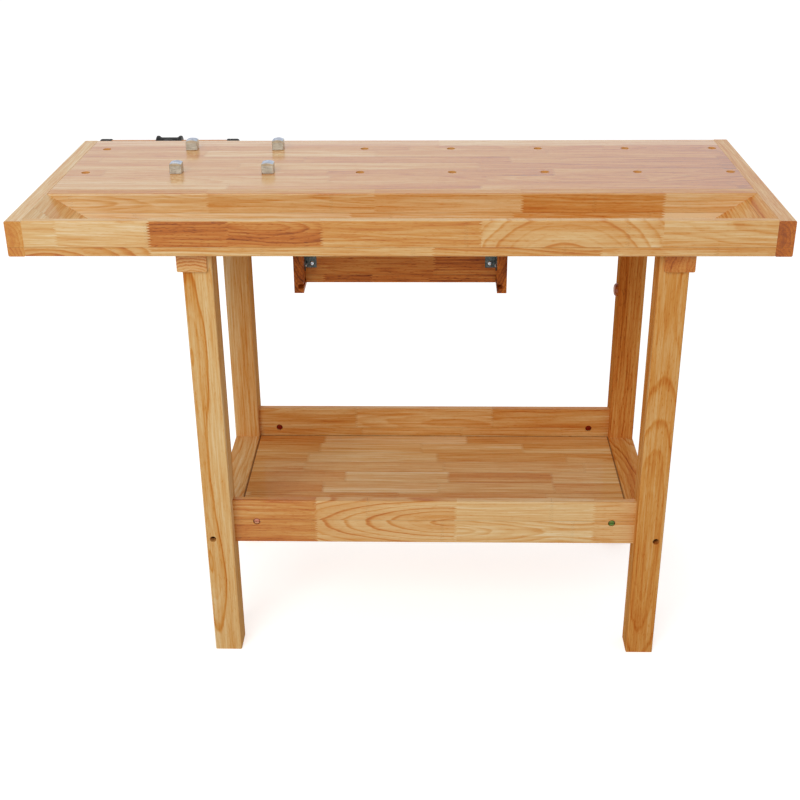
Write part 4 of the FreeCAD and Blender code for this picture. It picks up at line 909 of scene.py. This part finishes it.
def cross_screw(head, rise, rod, length, pitch, finish):
    """A round-headed wood screw. The top of its head is at the origin."""
    wide, thin, point = head / 2, rod / 2, rod
    blank = threaded("cross_screw", (
        (0, -length), (thin * 0.15, -length + 0.1),
        *shank(thin, point - length, -rise - pitch, pitch),
        (thin, -rise), (wide, -rise), (wide, -rise * 0.7),
        (wide * 0.86, -rise * 0.3), (wide * 0.6, -rise * 0.06), (0, 0)),
        pitch, thin * 0.3, point - length, -rise - pitch, finish)
    arm, half = wide * 0.52, wide * 0.13
    cross, quarter = [], [(arm, -half), (arm, half), (half, half)]
    for number in range(4):
        cross += quarter
        quarter = [(-y, x) for x, y in quarter]
    return carved(blank, ("DIFFERENCE", prism(
        "cross_recess", cross, -rise * 0.9, rise, 0.55)))


def socket_bolt(head, rise, rod, length, thread, finish):
    """A bolt with a hexagon socket. The top of its head is at the origin."""
    wide, thin, pitch = head / 2, rod / 2, 1.0
    blank = threaded("socket_bolt", (
        (0, -length), (thin * 0.8, -length), (thin, thin * 0.2 - length),
        *shank(thin, 1 - length, thread - length, pitch),
        (thin, -rise), (wide, -rise), (wide, -0.5), (wide - 0.5, 0), (0, 0)),
        pitch, thin * 0.2, 1 - length, thread - length, finish)
    reach = wide * 0.58
    hexagon = [(reach * math.cos(corner * math.tau / 6),
                reach * math.sin(corner * math.tau / 6))
               for corner in range(6)]
    return carved(blank, ("DIFFERENCE", prism(
        "hexagon_socket", hexagon, -rise * 0.6, rise)))


WELD = 1e-6      # how near two corners are one, in metres


def solids_of(name):
    """The corners of each separate solid of a node."""
    shape = bmesh.new()
    shape.from_mesh(nodes[name].data)
    bmesh.ops.remove_doubles(shape, verts=shape.verts, dist=WELD)
    seen, solids = set(), []
    for first in shape.verts:
        if first in seen:
            continue
        seen.add(first)
        waiting, corners = [first], []
        while waiting:
            corner = waiting.pop()
            corners.append(corner.co.copy())
            for edge in corner.link_edges:
                other = edge.other_vert(corner)
                if other not in seen:
                    seen.add(other)
                    waiting.append(other)
        solids.append(corners)
    shape.free()
    return solids


SAME_END = 1e-5      # how near a corner is to the end that it belongs to


def head_of(corners):
    """The middle of a fixing's wider end, and the way that this end faces."""
    low, high = [Vector([pick(corner[axis] for corner in corners)
                         for axis in range(3)]) for pick in (min, max)]
    middle, size = (low + high) / 2, high - low
    axis = max(range(3), key=lambda number: size[number])

    def width(end):
        return max((corner - middle).length for corner in corners
                   if abs(corner[axis] - end[axis]) < SAME_END)

    end = high if width(high) > width(low) + SAME_END else low
    place = middle.copy()
    place[axis] = end[axis]
    return place, (place - middle).normalized()


def set_fixings(name, source, model, finish, body="bench", turn=math.tau,
                seed=1):
    """Sets a copy of the model in the place of each of a node's solids."""
    places = [head_of(corners) for corners in solids_of(source)]
    mesh = bpy.data.meshes.new(name)
    mesh.from_pydata([place for place, facing in places], [], [])
    ways = mesh.attributes.new("facing", "FLOAT_VECTOR", "POINT")
    for way, (place, facing) in zip(ways.data, places):
        way.vector = facing
    done = grown(stand(name, mesh), fixing_tree, Fixing=model, Turn=turn,
                 Seed=seed, Finish=finish)
    bpy.data.objects.remove(model)
    fit(done, finish, body, "zinc_steel", source)


# The angles' zinc is painted near black, a painted shade for the shade under
# the top where they hang; the screws keep the bright zinc.
zinc = metal("zinc_plate", tint(66, 70, 68), 0.8, (210.0,) * 3,
             (0.12, 0.45), 0.6, Metallic=1.0)
bright_zinc = metal("bright_zinc", tint(176, 180, 184), 0.16, (500.0,) * 3,
                    (0.16, 0.30), 0.1, Metallic=1.0)
black_steel = metal("black_steel", tint(38, 38, 40), 0.3, (400.0,) * 3,
                    (0.3, 0.5), 0.2, Metallic=1.0)


def make_passivated():
    """Yellow passivated zinc, whose film drifts from rose to green and red."""
    made, tree, shader = new_material("passivated_zinc", Metallic=1.0)
    place = step(tree, "TexCoord").outputs["Object"]
    x, y = split(tree, place)[:2]
    mottle = cloud(tree, place, (160.0,) * 3, 3.0)
    film = add(tree, remap(tree, x, -0.3, 0.4, 0.05, 0.7),
               vary(tree, mottle, -0.08, 0.16))
    colour = ramp(tree, film, (
        (0.0, tint(186, 118, 108)), (0.35, tint(170, 132, 90)),
        (0.75, tint(88, 116, 56)), (1.0, tint(60, 96, 66))))
    colour = blend_colours(tree, calc(tree, "GREATER_THAN", y, 0.0), colour,
                           tint(150, 58, 40))
    surface(tree, shader, colour, vary(tree, mottle, 0.24, 0.42))
    return made


passivated = make_passivated()
finish_node(zinc, "corner_brackets", "runner_hangers", "screw_clip")

# Head, its rise, rod, length, and pitch of the screws or thread of the bolts.
for source, sizes, body, seed in (
        ("bracket_screws", (8, 1.6, 4, 13.6, 1.5), "bench", 3),
        ("top_screws", (16, 5, 8, 70, 3.5), "bench", 5),
        ("nut_plate_screws", (9, 2, 5, 32, 2.2), "bench", 7),
        ("front_plate_screws", (9, 2, 5, 32, 2.2), "vise_slider", 9),
        ("long_rail_bolts", (10, 6, 6, 92, 32), "bench", 11),
        ("side_rail_bolts", (10, 6, 6, 66, 36), "bench", 13)):
    make, finish = ((socket_bolt, black_steel) if source.endswith("bolts")
                    else (cross_screw, bright_zinc))
    set_fixings(source + "_driven", source, make(*sizes, finish), finish,
                body, seed=seed)

NUT_PROFILE = ((0, -14), (5, -14), (6, -13), (6, -1.2), (5, 0), (0, 0))
NUT_SLOT = ((-8, -0.8), (8, -0.8), (8, 0.8), (-8, 0.8))
nut_bore = lay(turned("nut_bore", ((0, -9), (3.1, -9), (3.1, 9), (0, 9))),
               (1, 0, 0), (0, 0, -7))
barrel_nut = carved(
    turned("barrel_nut", NUT_PROFILE, 40),
    ("DIFFERENCE", prism("nut_slot", NUT_SLOT, -1.8, 2)),
    ("DIFFERENCE", nut_bore))
set_fixings("barrel_nuts_fitted", "barrel_nuts", barrel_nut, passivated,
            turn=0.0)


# ----------------
# Vise: a hardwood jaw on two steel rods that run in bushes in the edge rail,
# moved by a steel screw through the nut plate. The plates and the hub are
# cast iron, painted black, and a wooden bar with cast caps turns the screw.

board("vise_jaw", "jaw_lacquered", "XZY", 0.2228, (0.06, 0.80, 0.9),
      (0.42, 0.55), 48.0, gloss=0.8)
board("vise_handle", "bar_lacquered", "XYZ", 0.826, (0.06, 0.28, 0.9),
      (0.42, 0.50), 50.0, gloss=0.7)
bright_rod = metal("bright_rod", tint(190, 192, 195), 0.06,
                   (900.0, 30.0, 900.0), (0.14, 0.26), 0.05, Metallic=1.0)
black_casting = metal("black_casting", tint(15, 15, 16), 0.25, (320.0,) * 3,
                      (0.38, 0.58), 0.5, Specular_IOR_Level=0.25)
finish_node(bright_rod, "guide_rods", "guide_bushes")
finish_node(black_casting, "vise_nut_plate", "vise_front_plate",
            "vise_tie_plate")

# The screw's line along Y, and the bar's line along X through the hub.
SCREW_X, SCREW_Z, SCREW_FOOT = -488, 826, -30.85
BAR_Y, HUB_X, HUB_LENGTH, NECK_FOOT = 303.5, -514, 52, 260.9
SCREW_PITCH, THREAD_DEPTH, THREAD_START, THREAD_END = 5, 2.2, 15, 278
SCREW_PROFILE = (
    (0, 0), (6.2, 0), (7, 0.8), (7, 12.1), (10, 12.1),
    *shank(11, 13, 284, SCREW_PITCH), (11, 285.7), (16.4, 285.7),
    (17, 286.3), (17, 291.2), (16.4, 291.8), (11, 291.8), (11, 305.2),
    (10.5, 305.7), (0, 305.7))
fit(lay(threaded("vise_screw_threaded", SCREW_PROFILE, SCREW_PITCH,
                 THREAD_DEPTH, THREAD_START, THREAD_END, bright_rod, 40),
        (0, 1, 0), (SCREW_X, SCREW_FOOT, SCREW_Z)),
    bright_rod, "vise_spindle", "rod_steel", "vise_screw")

# The hub is a spool on the bar, with a neck that is pinned on the screw.
HUB_END = (
    (0, 0), (19.6, 0), (20.6, 0.4), (21, 1.4), (21, 4.2), (20.5, 5.4),
    (19.2, 6.8), (18.1, 8.3), (17.6, 10), (17.5, 12))
HUB_PROFILE = (*HUB_END, *((radius, HUB_LENGTH - height)
                           for radius, height in reversed(HUB_END)))
NECK_PROFILE = (
    (0, 0), (16, 0), (16.7, 0.3), (17, 1), (17, 19), (17.3, 21.5),
    (18.2, 24), (18.2, 30), (0, 34))
BORE_PROFILE = ((0, -1), (12.8, -1), (12.8, HUB_LENGTH + 1),
                (0, HUB_LENGTH + 1))
SOCKET_PROFILE = ((0, -1), (11, -1), (11, 14), (0, 14))
spool, bar_bore = [
    lay(turned(name, profile, 64), (1, 0, 0), (HUB_X, BAR_Y, SCREW_Z))
    for name, profile in (("vise_hub_cast", HUB_PROFILE),
                          ("bar_bore", BORE_PROFILE))]
neck, screw_socket = [
    lay(turned(name, profile, sides), (0, 1, 0),
        (SCREW_X, NECK_FOOT, SCREW_Z))
    for name, profile, sides in (("hub_neck", NECK_PROFILE, 64),
                                 ("screw_socket", SOCKET_PROFILE, 40))]
fit(carved(spool, ("UNION", neck), ("DIFFERENCE", bar_bore),
           ("DIFFERENCE", screw_socket)),
    black_casting, "vise_spindle", "black_iron", "vise_hub")

CAP_PROFILE = (
    (0, 0), (6, 0.15), (10.2, 0.8), (12.8, 2.1), (14.2, 4), (14.5, 5.6),
    (14.5, 17.8), (14.1, 18.4), (14.1, 19.6), (14.5, 20.2), (14.5, 25.2),
    (14.2, 25.8), (13.6, 26), (12.65, 26), (12.65, 4.2), (0, 4.2))
caps = [lay(turned("handle_cap", CAP_PROFILE, 48),
            (way, 0, 0), (foot, BAR_Y, SCREW_Z))
        for way, foot in ((1, -634), (-1, -342))]
fit(together("handle_caps_cast", *caps), black_casting, "vise_bar",
    "black_iron", "handle_caps")


# ----------------
# Bench dogs: four nickel-plated steel stops with square heads, dropped into
# the second and third pairs of holes.

def make_dog_nickel():
    """Brushed nickel with level scratches. The crown is painted paler and
    cooler, a painted reflection of the pale room in the steel.
    """
    made, tree, shader = new_material("dog_nickel", Metallic=1.0)
    coordinates = step(tree, "TexCoord").outputs
    place = coordinates["Object"]
    scratches = cloud(tree, place, (60.0, 60.0, 1400.0), 3.0)
    cloudy = cloud(tree, place, (110.0,) * 3)
    up = split(tree, coordinates["Normal"])["Z"]
    shade = add(tree, times(tree, scratches, 0.6), times(tree, cloudy, 0.4))
    colour = ramp(tree, shade, (
        (0.34, tint(160, 152, 132)), (0.52, tint(190, 183, 164)),
        (0.70, tint(214, 208, 190))))
    # Painted reflection: the crown's paler, cooler colour stands in for the
    # room seen in the steel.
    crown = ramp(tree, cloudy, (
        (0.35, tint(140, 150, 168)), (0.52, tint(172, 182, 200)),
        (0.68, tint(196, 204, 218))))
    colour = blend_colours(tree, remap(tree, up, 0.5, 0.9), colour, crown)
    surface(tree, shader, colour, vary(tree, scratches, 0.24, 0.42),
            scratches, 0.25)
    return made


dog_nickel = make_dog_nickel()
DOG_HEAD_WIDTH, DOG_HEAD_HEIGHT = 21.8, 20.0
DOG_CROWN_RISE, DOG_EDGE = 2.5, 0.7
GROOVE_STEP, GROOVE_DEPTH, GROOVE_REACH = 2.0, 0.4, 0.45
CROWN_STEPS = 12
PIN_RADIUS, PIN_CHAMFER, PIN_TENON = 7.9, 1, 1


def dog_head(middle, half, foot, top):
    """A square head, arched across its width, grooved on its working face."""
    side_top = top - DOG_CROWN_RISE
    grooves = [foot + GROOVE_STEP * (number + 1) for number in range(
        int((side_top - foot - GROOVE_STEP) / GROOVE_STEP))]
    flank = half - DOG_EDGE
    lanes = [-half] + [flank * (2 * number / CROWN_STEPS - 1)
                       for number in range(CROWN_STEPS + 1)] + [half]
    shape = bmesh.new()
    loops = []
    for lane in lanes:
        inset = DOG_EDGE if abs(lane) == half else 0.0
        crown = top - DOG_CROWN_RISE * (lane / half) ** 2
        outline = [(flank, foot), (half, foot + DOG_EDGE),
                   (half, crown - DOG_EDGE), (flank, crown),
                   (-flank, crown), (-half, crown - DOG_EDGE)]
        for groove in reversed(grooves):
            outline += [(-half, groove + GROOVE_REACH),
                        (GROOVE_DEPTH - half, groove),
                        (-half, groove - GROOVE_REACH)]
        outline += [(-half, foot + DOG_EDGE), (-flank, foot)]
        near, far = inset - half, half - inset
        loops.append([shape.verts.new(Vector((
            middle.x / MILLIMETRE + lane,
            middle.y / MILLIMETRE + min(max(y, near), far),
            min(max(z, foot + inset), crown - inset))) * MILLIMETRE)
            for y, z in outline])
    for left, right in zip(loops, loops[1:]):
        bridge(shape, left, right)
    shape.faces.new(loops[0])
    shape.faces.new(loops[-1])
    bmesh.ops.remove_doubles(shape, verts=shape.verts, dist=WELD)
    return built("dog_head", shape)


for place in ("vise_side_left", "vise_side_right", "tray_side_left",
              "tray_side_right"):
    low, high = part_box("bench_dog_" + place)
    middle, half = (low + high) / 2, DOG_HEAD_WIDTH / 2
    bottom, top = low.z / MILLIMETRE, high.z / MILLIMETRE
    foot = top - DOG_HEAD_HEIGHT
    head = dog_head(middle, half, foot, top)
    length = foot - bottom + PIN_TENON
    pin = lay(turned("dog_pin", (
        (0, 0), (PIN_RADIUS - PIN_CHAMFER, 0), (PIN_RADIUS, PIN_CHAMFER),
        (PIN_RADIUS, length), (0, length)), 40), (0, 0, 1),
        (middle.x / MILLIMETRE, middle.y / MILLIMETRE, bottom))
    fit(together("dog_forged_" + place, head, pin), dog_nickel,
        "dog_" + place, "dog_steel", "bench_dog_" + place)


# ----------------
# Studio: a plain pale floor, even light from the room, one broad soft lamp
# in front of the tray side and a much weaker one above the bench.

FLOOR_SIZE, FLOOR_GLOW, ROOM_LIGHT = 40.0, 0.62, 0.48
WHITE = (1, 1, 1, 1)
LAMP_AIM = Vector((0, 0, 0.6))
CAMERA_SPOT, CAMERA_TURNS = (0.05499, -2.23381, 1.47365), (1.588, 64.1, -0.514)
LENS = 55.88


def backdrop_share(tree):
    """One where the floor or the room is seen, also in steel and lacquer."""
    path = step(tree, "LightPath").outputs
    seen = add(tree, path["Is Camera Ray"], path["Is Glossy Ray"])
    seen = add(tree, seen, path["Is Transmission Ray"])
    return calc(tree, "MINIMUM", seen, 1.0)


def soft_lamp(name, spot, power, size):
    lamp = stand(name, bpy.data.lights.new(name, "AREA"))
    lamp.data.energy = power
    lamp.data.size = size
    lamp.location = spot
    way = LAMP_AIM - Vector(spot)
    lamp.rotation_euler = way.to_track_quat("-Z", "Y").to_euler()


def make_studio():
    bpy.ops.mesh.primitive_plane_add(size=FLOOR_SIZE, location=(0, 0, 0))
    floor = bpy.context.object
    floor.name = "studio_floor"
    made, tree, shader = new_material(
        "studio_floor_paint", Base_Color=tint(236, 236, 236), Roughness=0.9,
        Specular_IOR_Level=0.1)
    glow = step(tree, "Emission", {
        "Color": WHITE,
        "Strength": times(tree, backdrop_share(tree), FLOOR_GLOW)})
    both = step(tree, "AddShader", {
        0: shader.outputs[0], 1: glow.outputs[0]})
    wire(tree, tree.nodes["Material Output"].inputs["Surface"],
         both.outputs[0])
    floor.data.materials.append(made)

    world = bpy.data.worlds.new("studio_room")
    bpy.context.scene.world = world
    world.use_nodes = True
    tree = world.node_tree
    tree.nodes.clear()
    lit, white = [
        step(tree, "Background", {"Color": WHITE, "Strength": strength})
        for strength in (ROOM_LIGHT, 1.0)]
    mixed = step(tree, "MixShader", {
        0: backdrop_share(tree), 1: lit.outputs[0], 2: white.outputs[0]})
    step(tree, "OutputWorld", {"Surface": mixed.outputs[0]})
    soft_lamp("front_lamp", (-1.5, -3.7, 3.3), 82.0, 2.4)
    soft_lamp("top_lamp", (0.3, 0.6, 3.6), 10.0, 2.4)

    camera = stand("camera", bpy.data.cameras.new("camera"))
    camera.data.sensor_width = 36.0
    camera.data.lens = LENS
    turn, tilt, roll = [
        Matrix.Rotation(math.radians(angle), 3, axis)
        for angle, axis in zip(CAMERA_TURNS, "ZXZ")]
    camera.location = CAMERA_SPOT
    camera.rotation_euler = (turn @ tilt @ roll).to_euler()
    bpy.context.scene.camera = camera
    bpy.context.scene.view_settings.view_transform = "Standard"


make_studio()
